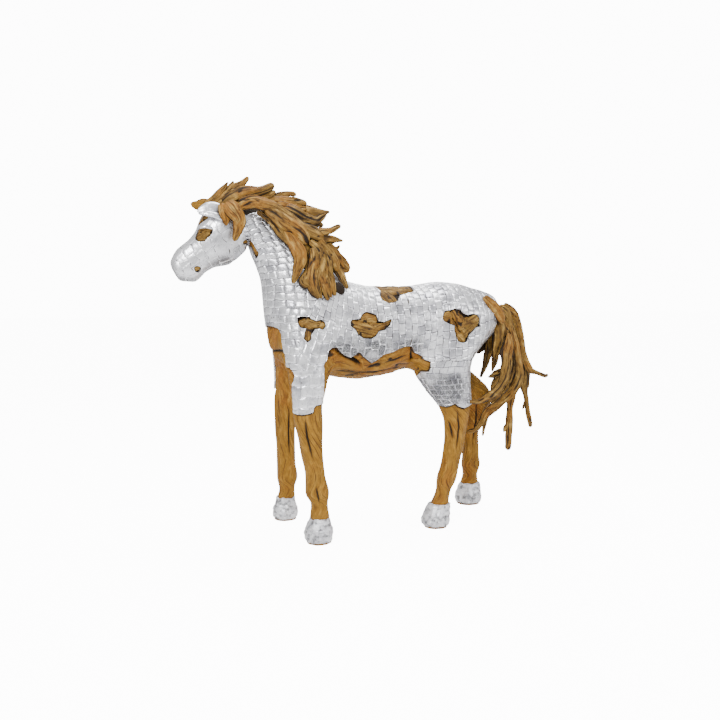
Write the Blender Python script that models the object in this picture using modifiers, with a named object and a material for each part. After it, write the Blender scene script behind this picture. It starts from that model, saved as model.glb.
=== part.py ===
"""A life-size standing horse of root wood, partly clad in metal tiles.

The form is one smooth solid: a trunk, neck and head lofted through ribs, and four
columns for the legs, blended where they meet. The cladding is a thin shell over that
form, cut open in patches that leave the wood bare. The mane and the tail are separate
pieces of root, each trimmed to sit against what carries it.

The tables of the figure are in hands, a fifteenth of the height at the withers. The
horse faces -X, its left side is -Y, and it stands on z = 0.
"""

import bmesh
import bpy
import numpy as np

# Driving dimensions, in metres
WITHERS_HEIGHT = 1.50
METAL_THICKNESS = 0.005
METAL_CLEARANCE = 0.001
PIECE_GAP = 0.0004
SOLE_RIM = 0.011
HOOF_CAP_HEIGHT = 0.150
FINEST_DETAIL = 0.020

# How finely the form is sampled and how the surface is evened out
BODY_TRIANGLES = 1900
PLANE_COUNT = 161
ROUGH_SIDES = 24
ROUGH_TRUNK_RINGS = 80
ROUGH_LEG_RINGS = 50
EVENING_ROUNDS = 3
EVENING_SHARE = 0.35
SHARP_DEGREES = 40

# The figure's own unit, and how far its middle lies behind the girth, in hands
HAND = WITHERS_HEIGHT / 15
MIDDLE = 0.7

# How softly the legs run into the trunk, in hands, and how square their sections are
BLEND = 0.7
LEG_SQUARENESS = 2.2

# Ribs from the tail head to the lips, in hands:
# crest x, crest z, keel x, keel z, half width, squareness
RIBS = (
    (8.62, 13.55, 8.62, 13.25, 0.12, 2.0),
    (8.52, 13.98, 8.42, 12.10, 0.85, 2.1),
    (8.20, 14.22, 8.05, 11.50, 1.35, 2.1),
    (7.60, 14.42, 7.45, 11.00, 1.85, 2.15),
    (6.70, 14.65, 6.60, 10.50, 2.30, 2.2),
    (5.60, 14.90, 5.50, 10.30, 2.55, 2.2),
    (4.50, 14.97, 4.50, 10.15, 2.62, 2.2),
    (2.30, 14.70, 2.30, 9.68, 2.72, 2.1),
    (0.20, 14.70, 0.15, 9.23, 2.75, 2.1),
    (-0.80, 14.85, -0.95, 9.15, 2.62, 2.15),
    (-1.60, 15.08, -2.20, 9.30, 2.45, 2.2),
    (-2.05, 15.35, -3.60, 9.60, 2.30, 2.2),
    (-2.45, 15.75, -5.00, 10.10, 2.15, 2.2),
    (-2.90, 16.30, -5.86, 10.95, 2.00, 2.15),
    (-3.95, 17.45, -6.24, 12.90, 1.55, 2.1),
    (-5.20, 18.40, -6.42, 14.85, 1.08, 2.05),
    (-5.90, 18.80, -6.65, 15.70, 0.92, 2.0),
    (-6.70, 19.15, -6.95, 16.45, 0.82, 2.0),
    (-7.50, 19.45, -7.20, 17.10, 0.78, 2.0),
    (-8.20, 19.55, -7.30, 16.80, 0.85, 2.1),
    (-8.90, 19.35, -7.65, 16.42, 0.98, 2.2),
    (-9.50, 18.90, -8.10, 16.08, 1.03, 2.2),
    (-9.86, 18.35, -8.60, 15.92, 0.98, 2.2),
    (-10.10, 17.75, -9.10, 15.82, 0.86, 2.2),
    (-10.46, 17.28, -9.60, 15.56, 0.72, 2.2),
    (-11.16, 16.66, -10.28, 15.00, 0.60, 2.2),
    (-11.48, 16.02, -10.94, 15.04, 0.50, 2.1),
    (-11.42, 15.74, -11.18, 15.26, 0.30, 2.0),
)

# Leg columns from the sole up, in hands: height, x front, x rear, y, half width
NEAR_FORE = (
    (-0.3, -4.36, -3.04, 2.40, 0.66),
    (0.6, -4.50, -2.99, 2.40, 0.74),
    (1.5, -4.18, -3.18, 2.38, 0.52),
    (2.2, -4.12, -3.26, 2.35, 0.45),
    (2.92, -4.44, -3.14, 2.32, 0.56),
    (3.9, -4.42, -3.33, 2.26, 0.50),
    (5.8, -4.73, -3.42, 2.12, 0.62),
    (7.5, -5.15, -3.40, 2.00, 0.75),
    (9.0, -5.28, -3.10, 1.85, 0.88),
    (11.0, -5.50, -2.80, 1.55, 1.05),
    (13.2, -5.20, -2.70, 1.15, 0.95),
)
FAR_FORE = (
    (-0.3, -5.32, -4.04, 2.40, 0.66),
    (0.5, -5.42, -3.98, 2.40, 0.72),
    (1.3, -5.22, -4.12, 2.35, 0.50),
    (2.0, -5.09, -4.16, 2.30, 0.45),
    (2.75, -5.20, -3.96, 2.26, 0.56),
    (3.9, -5.20, -4.10, 2.20, 0.50),
    (5.6, -5.34, -4.12, 2.12, 0.60),
    (7.4, -5.40, -3.90, 2.00, 0.72),
    (9.0, -5.36, -3.60, 1.80, 0.85),
    (11.0, -5.50, -3.20, 1.50, 1.00),
    (13.2, -5.20, -2.90, 1.15, 0.95),
)
NEAR_HIND = (
    (-0.3, 3.20, 4.50, 1.87, 0.66),
    (0.4, 3.04, 4.66, 1.89, 0.76),
    (1.5, 3.52, 4.70, 1.90, 0.53),
    (2.2, 3.84, 4.88, 1.90, 0.47),
    (3.0, 3.96, 5.22, 1.89, 0.56),
    (3.6, 4.13, 5.35, 1.88, 0.52),
    (4.65, 4.30, 5.60, 1.86, 0.53),
    (5.6, 4.42, 5.80, 1.84, 0.58),
    (6.5, 4.39, 6.02, 1.82, 0.68),
    (7.5, 4.02, 6.12, 1.78, 0.82),
    (8.5, 3.20, 6.07, 1.70, 0.95),
    (9.5, 2.62, 6.10, 1.55, 1.10),
    (10.2, 2.80, 6.22, 1.50, 1.20),
    (11.0, 3.50, 6.60, 1.45, 1.30),
    (13.0, 4.60, 7.60, 1.10, 1.15),
)
FAR_HIND = (
    (-0.3, 7.26, 8.64, 1.85, 0.66),
    (0.5, 7.13, 8.80, 1.85, 0.76),
    (1.4, 7.42, 8.68, 1.85, 0.52),
    (2.0, 7.58, 8.58, 1.85, 0.48),
    (2.75, 7.50, 8.82, 1.85, 0.56),
    (3.3, 7.52, 8.66, 1.85, 0.51),
    (4.8, 7.50, 8.60, 1.84, 0.53),
    (6.2, 7.42, 9.00, 1.82, 0.60),
    (7.2, 7.10, 9.50, 1.78, 0.71),
    (7.8, 6.75, 9.28, 1.75, 0.80),
    (8.6, 5.80, 8.48, 1.68, 0.95),
    (9.5, 4.90, 7.40, 1.60, 1.10),
    (10.2, 4.40, 6.70, 1.50, 1.20),
    (11.0, 4.30, 6.80, 1.45, 1.30),
    (13.0, 4.60, 7.60, 1.10, 1.15),
)
NEAR, FAR = -1, 1
LEGS = {
    "near_fore": (NEAR_FORE, NEAR),
    "far_fore": (FAR_FORE, FAR),
    "near_hind": (NEAR_HIND, NEAR),
    "far_hind": (FAR_HIND, FAR),
}

# Lower edge of the cladding along each side, in hands: x, z from the chest to the tail
NEAR_HEM = (
    (-7.5, 7.6), (-5.0, 7.55), (-4.35, 7.58), (-4.08, 7.9), (-3.5, 8.05),
    (-3.4, 10.3), (-3.15, 11.0), (-2.6, 11.25), (-2.4, 11.0), (-1.75, 10.65),
    (-1.3, 10.95), (-0.5, 10.3), (0.3, 10.8), (1.9, 11.25), (2.1, 10.85),
    (2.85, 10.5), (3.2, 10.2), (3.1, 9.64), (2.7, 9.6), (2.8, 9.0),
    (3.8, 7.6), (4.3, 7.5), (4.75, 7.7), (5.35, 7.35), (5.9, 7.5), (9.5, 7.8),
)
FAR_HEM = (
    (-7.5, 8.6), (-5.1, 8.4), (-4.4, 8.0), (-3.8, 8.6),
    (-3.6, 10.3), (-2.9, 11.1), (-1.9, 10.6), (-0.9, 11.0), (0.2, 10.5),
    (1.4, 11.1), (2.6, 11.2), (3.4, 10.5), (4.2, 10.1), (4.9, 9.4),
    (6.0, 8.3), (7.0, 7.7), (7.9, 8.1), (9.5, 7.9),
)

# Bare patches, in hands. Side patches are x, z and the one on the back is x, y
NEAR_PATCHES = {
    "shoulder": (
        (-4.84, 12.94), (-4.63, 13.03), (-4.0, 12.95), (-3.4, 12.83), (-3.25, 12.43),
        (-3.5, 12.28), (-4.0, 12.25), (-4.15, 11.6), (-4.4, 11.55), (-4.55, 11.77),
        (-4.4, 12.3), (-4.8, 12.6),
    ),
    "barrel": (
        (-1.83, 12.65), (-1.3, 12.84), (-0.95, 13.2), (-0.35, 13.12), (-0.21, 12.73),
        (0.65, 12.86), (0.45, 12.4), (0.1, 12.18), (-0.3, 11.95), (-0.7, 11.7),
        (-1.3, 11.85), (-1.6, 12.3),
    ),
    "haunch": (
        (3.8, 12.8), (4.1, 13.27), (4.75, 13.4), (5.2, 13.05), (6.0, 13.08),
        (6.3, 12.75), (6.4, 12.3), (5.8, 12.0), (5.4, 11.4), (4.85, 11.4),
        (4.6, 12.35), (4.0, 12.6),
    ),
    "throat": (
        (-7.7, 17.0), (-7.6, 17.28), (-7.15, 17.36), (-6.95, 17.05), (-6.65, 16.6),
        (-6.75, 16.35), (-6.95, 16.75), (-7.3, 17.05),
    ),
    "eye": (
        (-10.2, 17.28), (-10.05, 17.7), (-9.8, 17.9), (-9.24, 17.9), (-9.3, 17.6),
        (-9.65, 17.17), (-10.0, 17.12),
    ),
    "mouth_corner": (
        (-10.33, 15.65), (-10.25, 15.83), (-10.0, 15.8), (-9.95, 15.6), (-10.15, 15.47),
    ),
}
FAR_PATCHES = {
    "far_shoulder": (
        (-4.6, 12.7), (-4.1, 13.3), (-3.4, 13.1), (-3.1, 12.5), (-3.7, 12.2), (-3.9, 11.7),
        (-4.4, 11.9),
    ),
    "far_barrel": (
        (-0.9, 12.2), (-0.3, 12.9), (0.5, 13.0), (1.4, 12.7), (1.3, 12.2), (0.6, 11.9),
        (-0.2, 11.7),
    ),
    "far_haunch": (
        (4.6, 12.4), (5.1, 13.2), (5.9, 13.3), (6.6, 12.8), (6.3, 12.1), (5.5, 11.6),
        (5.0, 11.8),
    ),
    "far_eye": ((-10.15, 17.25), (-10.0, 17.7), (-9.4, 17.85), (-9.35, 17.5), (-9.75, 17.15)),
}
BACK_PATCH = (
    (0.2, -1.7), (0.35, -1.2), (0.6, -0.6), (1.3, -0.35), (2.1, -0.5), (2.6, -1.0),
    (2.45, -1.45), (1.4, -1.8), (1.15, -2.12), (0.5, -2.2),
)
# The bare chest, seen from the front, in hands: y, z
CHEST = (
    (-0.3, 12.5), (-1.2, 12.4), (-1.65, 11.9), (-1.75, 11.2), (-1.95, 10.4), (-2.4, 9.8),
    (-2.25, 9.2), (-2.25, 7.0), (2.0, 7.0), (1.95, 10.4), (1.6, 11.4), (0.9, 12.2),
)
CHEST_DEPTH = -4.95

# Half width and top of the bare band between the legs, in hands
INSIDE_HALF_WIDTH = 1.75
INSIDE_TOP = 10.45

# How far the cutters of the cladding reach, in hands
CUT_FRONT, CUT_REAR, CUT_SIDE, CUT_BELOW, CUT_ABOVE = -8.0, 9.5, 6.0, -2.0, 17.0
BACK_CUT_BELOW = 12.5
PATCH_CUT_START = 0.15
HEM_CUTS_OVERLAP = 0.05

# The floor under the soles, in hands: x from, x to and half width, and how deep it is cut
FLOOR_BOX = (-9.0, 11.0, 5.0)
FLOOR_DEPTH = 3.0

# Hoof caps: the box around each hoof, in hands: x at the toe, x at the heel, side
HOOVES = {
    "near_fore_hoof_cap": (-4.9, -2.6, NEAR),
    "far_fore_hoof_cap": (-5.8, -3.6, FAR),
    "near_hind_hoof_cap": (2.6, 5.2, NEAR),
    "far_hind_hoof_cap": (6.8, 9.2, FAR),
}
HOOF_BOX_INSIDE, HOOF_BOX_OUTSIDE = 0.8, 3.6

# Pieces of root, in hands: width at the root, middle and tip, then the path
MANE = (
    (0.90, 0.75, 0.20, ((-9.2, -0.3, 18.9), (-8.8, -0.4, 19.8), (-8.3, -0.5, 20.5))),
    (0.90, 0.80, 0.25, ((-8.9, 0, 19), (-8.1, -0.2, 20), (-7.1, -0.3, 20.85))),
    (0.60, 0.55, 0.20, ((-8.7, 0.5, 19.1), (-8.4, 0.5, 20), (-7.85, 0.5, 20.65))),
    (1.00, 1.15, 0.70, (
        (-8.3, -0.2, 19.1), (-7.7, -0.4, 19.95), (-6.8, -0.4, 20.25), (-5.6, -0.3, 20.45),
    )),
    (0.90, 1.15, 0.30, (
        (-7.9, -0.5, 18.7), (-7.1, -0.9, 19.4), (-6.2, -1.1, 19.45), (-5.3, -1.35, 18.75),
        (-4.4, -1.4, 17.9), (-2.7, -1.1, 17.15),
    )),
    (0.50, 0.42, 0.25, ((-6.9, 0.1, 19), (-6.1, 0.1, 19.8), (-5.2, 0, 20), (-4.35, 0, 19.98))),
    (0.80, 0.95, 0.60, ((-6.3, 0.1, 18.7), (-5.6, 0, 19.3), (-4.8, -0.1, 19.45), (-3.8, -0.2, 19.38))),
    (0.90, 0.90, 0.14, ((-5.6, 0.2, 18.2), (-4.7, 0.2, 18.85), (-3.6, 0.1, 18.95), (-2.35, 0, 19))),
    (0.70, 0.70, 0.30, ((-4.9, 0.5, 17.9), (-3.8, 0.4, 18.35), (-2.5, 0.3, 18.25))),
    (0.90, 1.15, 0.28, (
        (-5.6, -0.6, 18.2), (-4.5, -0.8, 18.45), (-3.1, -0.65, 18.3), (-1.8, -0.5, 18.2),
    )),
    (0.80, 0.90, 0.22, (
        (-4.7, -0.6, 17.6), (-3.8, -0.7, 17.85), (-2.8, -0.6, 17.7), (-1.65, -0.5, 17.38),
    )),
    (0.90, 0.95, 0.18, ((-4.2, -0.3, 16.9), (-3, -0.2, 17.15), (-1.85, -0.2, 17))),
    (1.00, 1.25, 0.55, ((-3.5, 0, 16.2), (-2.2, 0, 16.3), (-1.15, 0, 15.8))),
    (1.20, 1.25, 0.35, (
        (-6.1, -0.7, 18.55), (-5.35, -1.3, 18.05), (-4.85, -1.55, 17.2), (-4.65, -1.85, 16.2),
        (-4.95, -2.1, 14.9),
    )),
    (0.80, 0.95, 0.35, (
        (-4.2, -1, 17.1), (-3.85, -1.6, 16.4), (-3.6, -2.1, 15.2), (-3.4, -2.35, 14.05),
    )),
    (0.80, 0.95, 0.35, ((-3.5, -0.8, 16.7), (-3.15, -1.45, 16), (-3, -2, 15), (-3, -2.35, 13.9))),
    (0.80, 0.95, 0.40, ((-3, -0.6, 16.3), (-2.6, -1.15, 15.8), (-2.4, -1.6, 15.2), (-2.35, -2, 14.5))),
    (0.80, 0.90, 0.35, (
        (-2.5, -0.2, 15.7), (-2.05, -0.7, 15.6), (-1.75, -1.1, 15.2), (-1.65, -1.6, 14.65),
    )),
    (0.70, 0.95, 0.55, ((-4.8, -1.5, 16.2), (-4.45, -2, 15.5), (-4.2, -2.3, 14.55))),
    (0.90, 1.10, 0.30, ((-8, 0.4, 19.1), (-7.1, 0.9, 19.5), (-6.2, 1.15, 19.2), (-5.4, 1.25, 18.3))),
    (0.90, 1.20, 0.30, ((-6.5, 0.6, 18.6), (-5.6, 1.2, 18.2), (-4.7, 1.55, 17.3), (-4.4, 1.9, 15.9))),
    (0.90, 1.20, 0.30, ((-5, 0.7, 17.8), (-4.1, 1.4, 17.3), (-3.65, 1.8, 16.4), (-3.7, 2.2, 15))),
    (0.80, 1.10, 0.30, ((-3.9, 0.8, 16.8), (-3.2, 1.4, 16.3), (-2.9, 1.9, 15.4), (-2.9, 2.2, 14.3))),
    (0.80, 1.00, 0.30, ((-3, 0.5, 16), (-2.3, 0.9, 15.9), (-1.85, 1.3, 15.2), (-1.8, 1.6, 14.6))),
    (0.75, 0.90, 0.22, ((-8.2, -0.5, 19.4), (-8.4, -1.1, 18.75), (-8.55, -1.3, 18))),
    (0.85, 1.00, 0.20, ((-7.8, -0.4, 19.2), (-7.6, -1.05, 18.4), (-8, -1.3, 17.25))),
)
TAIL = (
    (0.85, 0.90, 0.55, ((7.6, -0.1, 13.9), (8.4, -0.25, 13.8), (9, -0.3, 13.3), (9.35, -0.35, 12.3))),
    (0.65, 0.72, 0.20, (
        (8.3, -0.3, 13.1), (9.2, -0.7, 12.8), (9.6, -0.95, 11.6), (9.93, -1, 10.2),
        (9.98, -0.9, 9.1), (9.55, -0.75, 8.1), (8.6, -0.6, 7.3), (7.7, -0.5, 6.5), (6.5, -0.9, 5.75),
    )),
    (0.70, 0.78, 0.16, (
        (8.4, 0.3, 13.2), (9.7, 0.45, 13.1), (10.5, 0.5, 12), (10.9, 0.5, 10.6), (11.4, 0.45, 9.6),
        (12.9, 0.3, 8.8),
    )),
    (0.75, 0.62, 0.24, (
        (10.3, 0.75, 12.2), (11, 0.95, 10.9), (11.45, 1, 9.5), (11.66, 0.95, 8), (11.62, 0.8, 6.4),
        (11.9, 0.6, 5.3),
    )),
    (0.60, 0.68, 0.48, (
        (9.6, 0.15, 11.6), (9.95, 0.15, 9.6), (10.08, 0.15, 7.9), (9.9, 0.15, 5.9),
        (9.95, 0.15, 3.85),
    )),
    (0.80, 0.90, 0.16, ((7.3, -0.6, 13), (7.9, -1.1, 12.2), (8, -1.1, 10.9), (7.45, -1, 9))),
    (0.80, 0.95, 0.20, ((8.2, -0.2, 12.6), (8.75, -0.5, 11.9), (8.85, -0.5, 10.7), (8.4, -0.4, 9.3))),
    (0.60, 0.88, 0.16, (
        (8.3, -0.7, 13), (8.85, -1.4, 12.1), (8.72, -1.75, 10.8), (8.5, -1.85, 9.6),
        (7.9, -2.05, 8.6), (6.9, -2.5, 8.05), (5.65, -3, 7.78),
    )),
    (0.60, 0.85, 0.22, ((8.5, -0.1, 10.6), (8.25, -0.1, 9.5), (8.5, -0.05, 8.2))),
    (0.60, 0.75, 0.22, (
        (8.3, 0.6, 12.9), (9.4, 1, 12), (10, 1.1, 10.5), (10, 1.1, 8.9), (9.6, 1.05, 7.4),
        (8.8, 1, 6.4), (8.5, 0.9, 5),
    )),
)
NEAR_EAR = (0.50, 0.66, 0.10, (
    (-9.1, -0.62, 18.7), (-9.45, -0.75, 18.95), (-9.85, -0.85, 18.95), (-10.15, -0.9, 18.75),
))
FAR_EAR = (0.45, 0.60, 0.10, (
    (-9.3, 0.62, 18.9), (-9.75, 0.75, 19.2), (-10.1, 0.8, 19.35), (-10.45, 0.85, 19.35),
))

# Every piece of root is flatter than it is wide, turns its flat face out and a little
# up, and has this many sides and rings
ROOT_FLATNESS = 0.55
ROOT_LEAN = 0.35
ROOT_SIDES = 6
RINGS_PER_POINT = 1.5

# Colours as the finished piece has them
ROOT_BROWN = (0.33, 0.17, 0.055, 1.0)
MANE_BROWN = (0.27, 0.14, 0.045, 1.0)
BRIGHT_METAL = (0.78, 0.78, 0.80, 1.0)


def monotone(rows, at):
    """Rows read at fractional places along a smooth curve that never overshoots them."""
    rows = np.asarray(rows, float)
    x, y = rows[:, 0], rows[:, 1:]
    step = np.diff(x)[:, None]
    slope = np.diff(y, axis=0) / step
    ahead, behind = 2 * step[1:] + step[:-1], step[1:] + 2 * step[:-1]
    same_way = slope[:-1] * slope[1:] > 0
    safe = np.where(same_way, slope[:-1] * slope[1:], 1.0)
    mean = (ahead + behind) * safe / (ahead * slope[1:] + behind * slope[:-1] + (~same_way))
    tangent = np.vstack([slope[:1], np.where(same_way, mean, 0.0), slope[-1:]])
    at = np.clip(at, x[0], x[-1])
    k = np.clip(np.searchsorted(x, at) - 1, 0, len(step) - 1)
    s = ((at - x[k]) / step[k, 0])[:, None]
    return (
        y[k] * (1 + 2 * s) * (1 - s) ** 2
        + step[k] * tangent[k] * s * (1 - s) ** 2
        + y[k + 1] * s * s * (3 - 2 * s)
        + step[k] * tangent[k + 1] * s * s * (s - 1)
    )


def rib_at(place):
    """Centre, crest direction, half height, half width and squareness of the rib at a place."""
    numbered = np.column_stack([np.arange(len(RIBS)), RIBS])
    row = monotone(numbered, np.asarray(place, float))
    crest, keel = row[:, 0:2], row[:, 2:4]
    half = np.linalg.norm(crest - keel, axis=1) / 2
    return (crest + keel) / 2, (crest - keel) / (2 * half[:, None]), half, row[:, 4], row[:, 5]


def section(up, across, half_height, half_width, squareness):
    """How far a point lies outside a rounded section, negative inside it."""
    power = np.abs(up / half_height) ** squareness + np.abs(across / half_width) ** squareness
    return (power ** (1 / squareness) - 1) * np.minimum(half_height, half_width)


# Planes close together along the trunk, on which every point finds its own rib
PLANE_PLACES = np.linspace(0, len(RIBS) - 1, PLANE_COUNT)
PLANE_CENTRES, PLANE_CRESTS, PLANE_HALVES, _, _ = rib_at(PLANE_PLACES)
PLANE_NORMALS = np.column_stack([-PLANE_CRESTS[:, 1], PLANE_CRESTS[:, 0]])
PLANE_NORMALS *= np.sign((PLANE_NORMALS * np.gradient(PLANE_CENTRES, axis=0)).sum(1))[:, None]


def trunk_distance(points):
    """Distance outside the trunk, neck and head, measured in the rib plane of each point."""
    flat = points[:, [0, 2]]
    past = flat @ PLANE_NORMALS.T - (PLANE_CENTRES * PLANE_NORMALS).sum(1)
    crosses = (past[:, :-1] >= 0) & (past[:, 1:] < 0)
    reach = np.linalg.norm(flat[:, None] - PLANE_CENTRES[None, :-1], axis=2) / PLANE_HALVES[:-1]
    k = np.where(crosses, reach, np.inf).argmin(axis=1)
    rows = np.arange(len(points))
    inside = crosses[rows, k]
    share = np.where(inside, past[rows, k] / (past[rows, k] - past[rows, k + 1] + 1e-12), 0)
    behind_tail = past[:, 0] < 0
    last = len(RIBS) - 1.0
    spacing = PLANE_PLACES[1] - PLANE_PLACES[0]
    place = np.where(inside, PLANE_PLACES[k] + spacing * share, np.where(behind_tail, 0.0, last))
    beyond = np.where(inside, 0.0, np.where(behind_tail, -past[:, 0], np.maximum(past[:, -1], 0)))
    centre, crest, half_height, half_width, squareness = rib_at(place)
    up = ((flat - centre) * crest).sum(axis=1)
    outside = section(up, points[:, 1], half_height, half_width, squareness)
    return np.where(beyond > 0, np.hypot(np.maximum(outside, 0), beyond), outside)


def leg_distance(points, rows, side):
    """Distance outside one leg, measured in its level section."""
    level = np.clip(points[:, 2], rows[0][0], rows[-1][0])
    front, rear, across, half_width = monotone(rows, level).T
    outside = section(
        points[:, 0] - (front + rear) / 2,
        points[:, 1] - side * across,
        (rear - front) / 2,
        half_width,
        LEG_SQUARENESS,
    )
    beyond = np.abs(points[:, 2] - level)
    return np.where(beyond > 0, np.hypot(np.maximum(outside, 0), beyond), outside)


def form(points):
    """Distance outside the whole figure, the legs blended softly into the trunk."""
    distance = trunk_distance(points)
    for rows, side in LEGS.values():
        leg = leg_distance(points, rows, side)
        share = np.clip(0.5 + 0.5 * (leg - distance) / BLEND, 0, 1)
        distance = leg * (1 - share) + distance * share - BLEND * share * (1 - share)
    return distance


def settle(points, rounds=6, probe=0.01, least_slope=0.15, longest_step=0.3):
    """Points moved along the slope of the form until they lie on its surface."""
    for _ in range(rounds):
        value = form(points)
        slope = np.column_stack(
            [form(points + probe * axis) - form(points - probe * axis) for axis in np.eye(3)]
        ) / (2 * probe)
        steep = np.maximum((slope**2).sum(axis=1), least_slope)
        step = np.clip(value / steep, -longest_step, longest_step)
        points = points - slope * step[:, None]
    return points


def to_metres(points):
    """World places of points given in hands."""
    points = np.array(points, float)
    points[:, 0] -= MIDDLE
    return points * HAND


def to_hands(points):
    """Points in hands for places in the world."""
    points = np.asarray(points, float) / HAND
    points[:, 0] += MIDDLE
    return points


def material(name, colour, roughness, metallic):
    """A plain finish in one colour."""
    made = bpy.data.materials.new(name)
    made.use_nodes = True
    shader = made.node_tree.nodes["Principled BSDF"]
    shader.inputs["Base Color"].default_value = colour
    shader.inputs["Roughness"].default_value = roughness
    shader.inputs["Metallic"].default_value = metallic
    return made


def add(name, mesh, collection, finish=None):
    """An object for a mesh. Without a finish it is a hidden cutter."""
    mesh.name = name
    thing = bpy.data.objects.new(name, mesh)
    collection.objects.link(thing)
    if finish is None:
        thing.hide_render = True
        thing.display_type = "WIRE"
    else:
        mesh.materials.clear()
        mesh.materials.append(finish)
        mesh.shade_smooth()
        mesh.set_sharp_from_angle(angle=np.radians(SHARP_DEGREES))
    return thing


def loft(rings):
    """A closed mesh through rings of points, with a cap on each end."""
    count, sides, _ = rings.shape
    made = bmesh.new()
    corners = [[made.verts.new(point) for point in ring] for ring in rings]
    for one, two in zip(corners, corners[1:]):
        for j in range(sides):
            after = (j + 1) % sides
            made.faces.new((one[j], one[after], two[after]))
            made.faces.new((one[j], two[after], two[j]))
    made.faces.new(corners[0])
    made.faces.new(corners[-1])
    bmesh.ops.recalc_face_normals(made, faces=made.faces)
    mesh = bpy.data.meshes.new("loft")
    made.to_mesh(mesh)
    made.free()
    return mesh


def prism(outline, axis, low, high):
    """A flat outline drawn out along an axis. All its numbers are in hands."""
    outline = np.array(outline, float)
    start = np.insert(outline, axis, low, axis=1)
    made = bmesh.new()
    face = made.faces.new([made.verts.new(point) for point in to_metres(start)])
    grown = bmesh.ops.extrude_face_region(made, geom=[face])
    reach = np.zeros(3)
    reach[axis] = (high - low) * HAND
    moved = [item for item in grown["geom"] if isinstance(item, bmesh.types.BMVert)]
    bmesh.ops.translate(made, verts=moved, vec=reach)
    bmesh.ops.recalc_face_normals(made, faces=made.faces)
    mesh = bpy.data.meshes.new("prism")
    made.to_mesh(mesh)
    made.free()
    return mesh


def evaluated(thing):
    """The mesh of an object with its modifiers applied."""
    graph = bpy.context.evaluated_depsgraph_get()
    graph.update()
    return bpy.data.meshes.new_from_object(thing.evaluated_get(graph))


def move_points(mesh, change):
    """The points of a mesh put through a function of an array of places."""
    places = np.empty(len(mesh.vertices) * 3, np.float32)
    mesh.vertices.foreach_get("co", places)
    moved = change(places.reshape(-1, 3).astype(float))
    mesh.vertices.foreach_set("co", moved.astype(np.float32).ravel())
    mesh.update()


def even_out(mesh):
    """Points drawn towards the middle of their neighbours, so no triangle is a sliver."""
    made = bmesh.new()
    made.from_mesh(mesh)
    bmesh.ops.smooth_vert(
        made, verts=made.verts, factor=EVENING_SHARE, use_axis_x=True, use_axis_y=True, use_axis_z=True
    )
    made.to_mesh(mesh)
    made.free()


def largest_piece(mesh):
    """Only the largest of the loose pieces of a mesh."""
    made = bmesh.new()
    made.from_mesh(mesh)
    left = set(made.verts)
    pieces = []
    while left:
        front = [left.pop()]
        piece = list(front)
        while front:
            vert = front.pop()
            around = {edge.other_vert(vert) for edge in vert.link_edges} & left
            left -= around
            front.extend(around)
            piece.extend(around)
        pieces.append(piece)
    pieces.sort(key=lambda piece: sum(face.calc_area() for vert in piece for face in vert.link_faces))
    bmesh.ops.delete(made, geom=[vert for piece in pieces[:-1] for vert in piece], context="VERTS")
    made.to_mesh(mesh)
    made.free()
    return mesh


def rough_figure(collection):
    """The trunk and the legs as overlapping lofts, fused and drawn onto the form."""
    turn = np.linspace(0, 2 * np.pi, ROUGH_SIDES, endpoint=False)
    places = np.linspace(0, len(RIBS) - 1, ROUGH_TRUNK_RINGS)
    centre, crest, half_height, half_width, _ = rib_at(places)
    up = half_height[:, None] * np.cos(turn)
    rings = np.stack(
        [
            centre[:, :1] + crest[:, :1] * up,
            half_width[:, None] * np.sin(turn),
            centre[:, 1:] + crest[:, 1:] * up,
        ],
        axis=2,
    )
    meshes = [loft(to_metres(rings.reshape(-1, 3)).reshape(rings.shape))]
    for rows, side in LEGS.values():
        level = np.linspace(rows[0][0], rows[-1][0], ROUGH_LEG_RINGS)
        front, rear, across, half_width = monotone(rows, level).T[:, :, None]
        rings = np.stack(
            [
                (front + rear) / 2 + (rear - front) / 2 * np.cos(turn),
                side * across + half_width * np.sin(turn),
                level[:, None] + 0 * turn,
            ],
            axis=2,
        )
        meshes.append(loft(to_metres(rings.reshape(-1, 3)).reshape(rings.shape)))
    joined = bmesh.new()
    for mesh in meshes:
        joined.from_mesh(mesh)
        bpy.data.meshes.remove(mesh)
    figure = bpy.data.meshes.new("figure")
    joined.to_mesh(figure)
    joined.free()
    thing = add("figure", figure, collection)
    fuse = thing.modifiers.new("fuse", "REMESH")
    fuse.mode = "VOXEL"
    fuse.voxel_size = FINEST_DETAIL
    smooth = evaluated(thing)
    bpy.data.objects.remove(thing)
    move_points(smooth, lambda places: to_metres(settle(to_hands(places))))
    for _ in range(EVENING_ROUNDS):
        even_out(smooth)
        move_points(smooth, lambda places: to_metres(settle(to_hands(places), rounds=2)))
    return smooth


def figure_mesh(collection):
    """The whole figure with few triangles, closest where it curves most."""
    thing = add("figure", rough_figure(collection), collection)
    triangles = sum(len(face.vertices) - 2 for face in thing.data.polygons)
    thin = thing.modifiers.new("thin", "DECIMATE")
    thin.ratio = BODY_TRIANGLES / triangles
    thing.modifiers.new("triangles", "TRIANGULATE")
    mesh = evaluated(thing)
    bpy.data.objects.remove(thing)
    for _ in range(EVENING_ROUNDS):
        even_out(mesh)
        move_points(mesh, lambda places: to_metres(settle(to_hands(places), rounds=3)))
    return mesh


def cut(thing, cutter, operation="DIFFERENCE"):
    """A Boolean modifier on a thing."""
    boolean = thing.modifiers.new(cutter.name, "BOOLEAN")
    boolean.operation = operation
    boolean.object = cutter
    boolean.solver = "EXACT"


def swell(thing, distance):
    """The surface moved outwards by a distance."""
    push = thing.modifiers.new("swell", "DISPLACE")
    push.strength = distance
    push.mid_level = 0.0


def plate(thing):
    """The surface turned into sheet metal that lies just clear of the wood."""
    swell(thing, METAL_CLEARANCE)
    wall = thing.modifiers.new("plate", "SOLIDIFY")
    wall.thickness = METAL_THICKNESS
    wall.offset = 1.0


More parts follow.
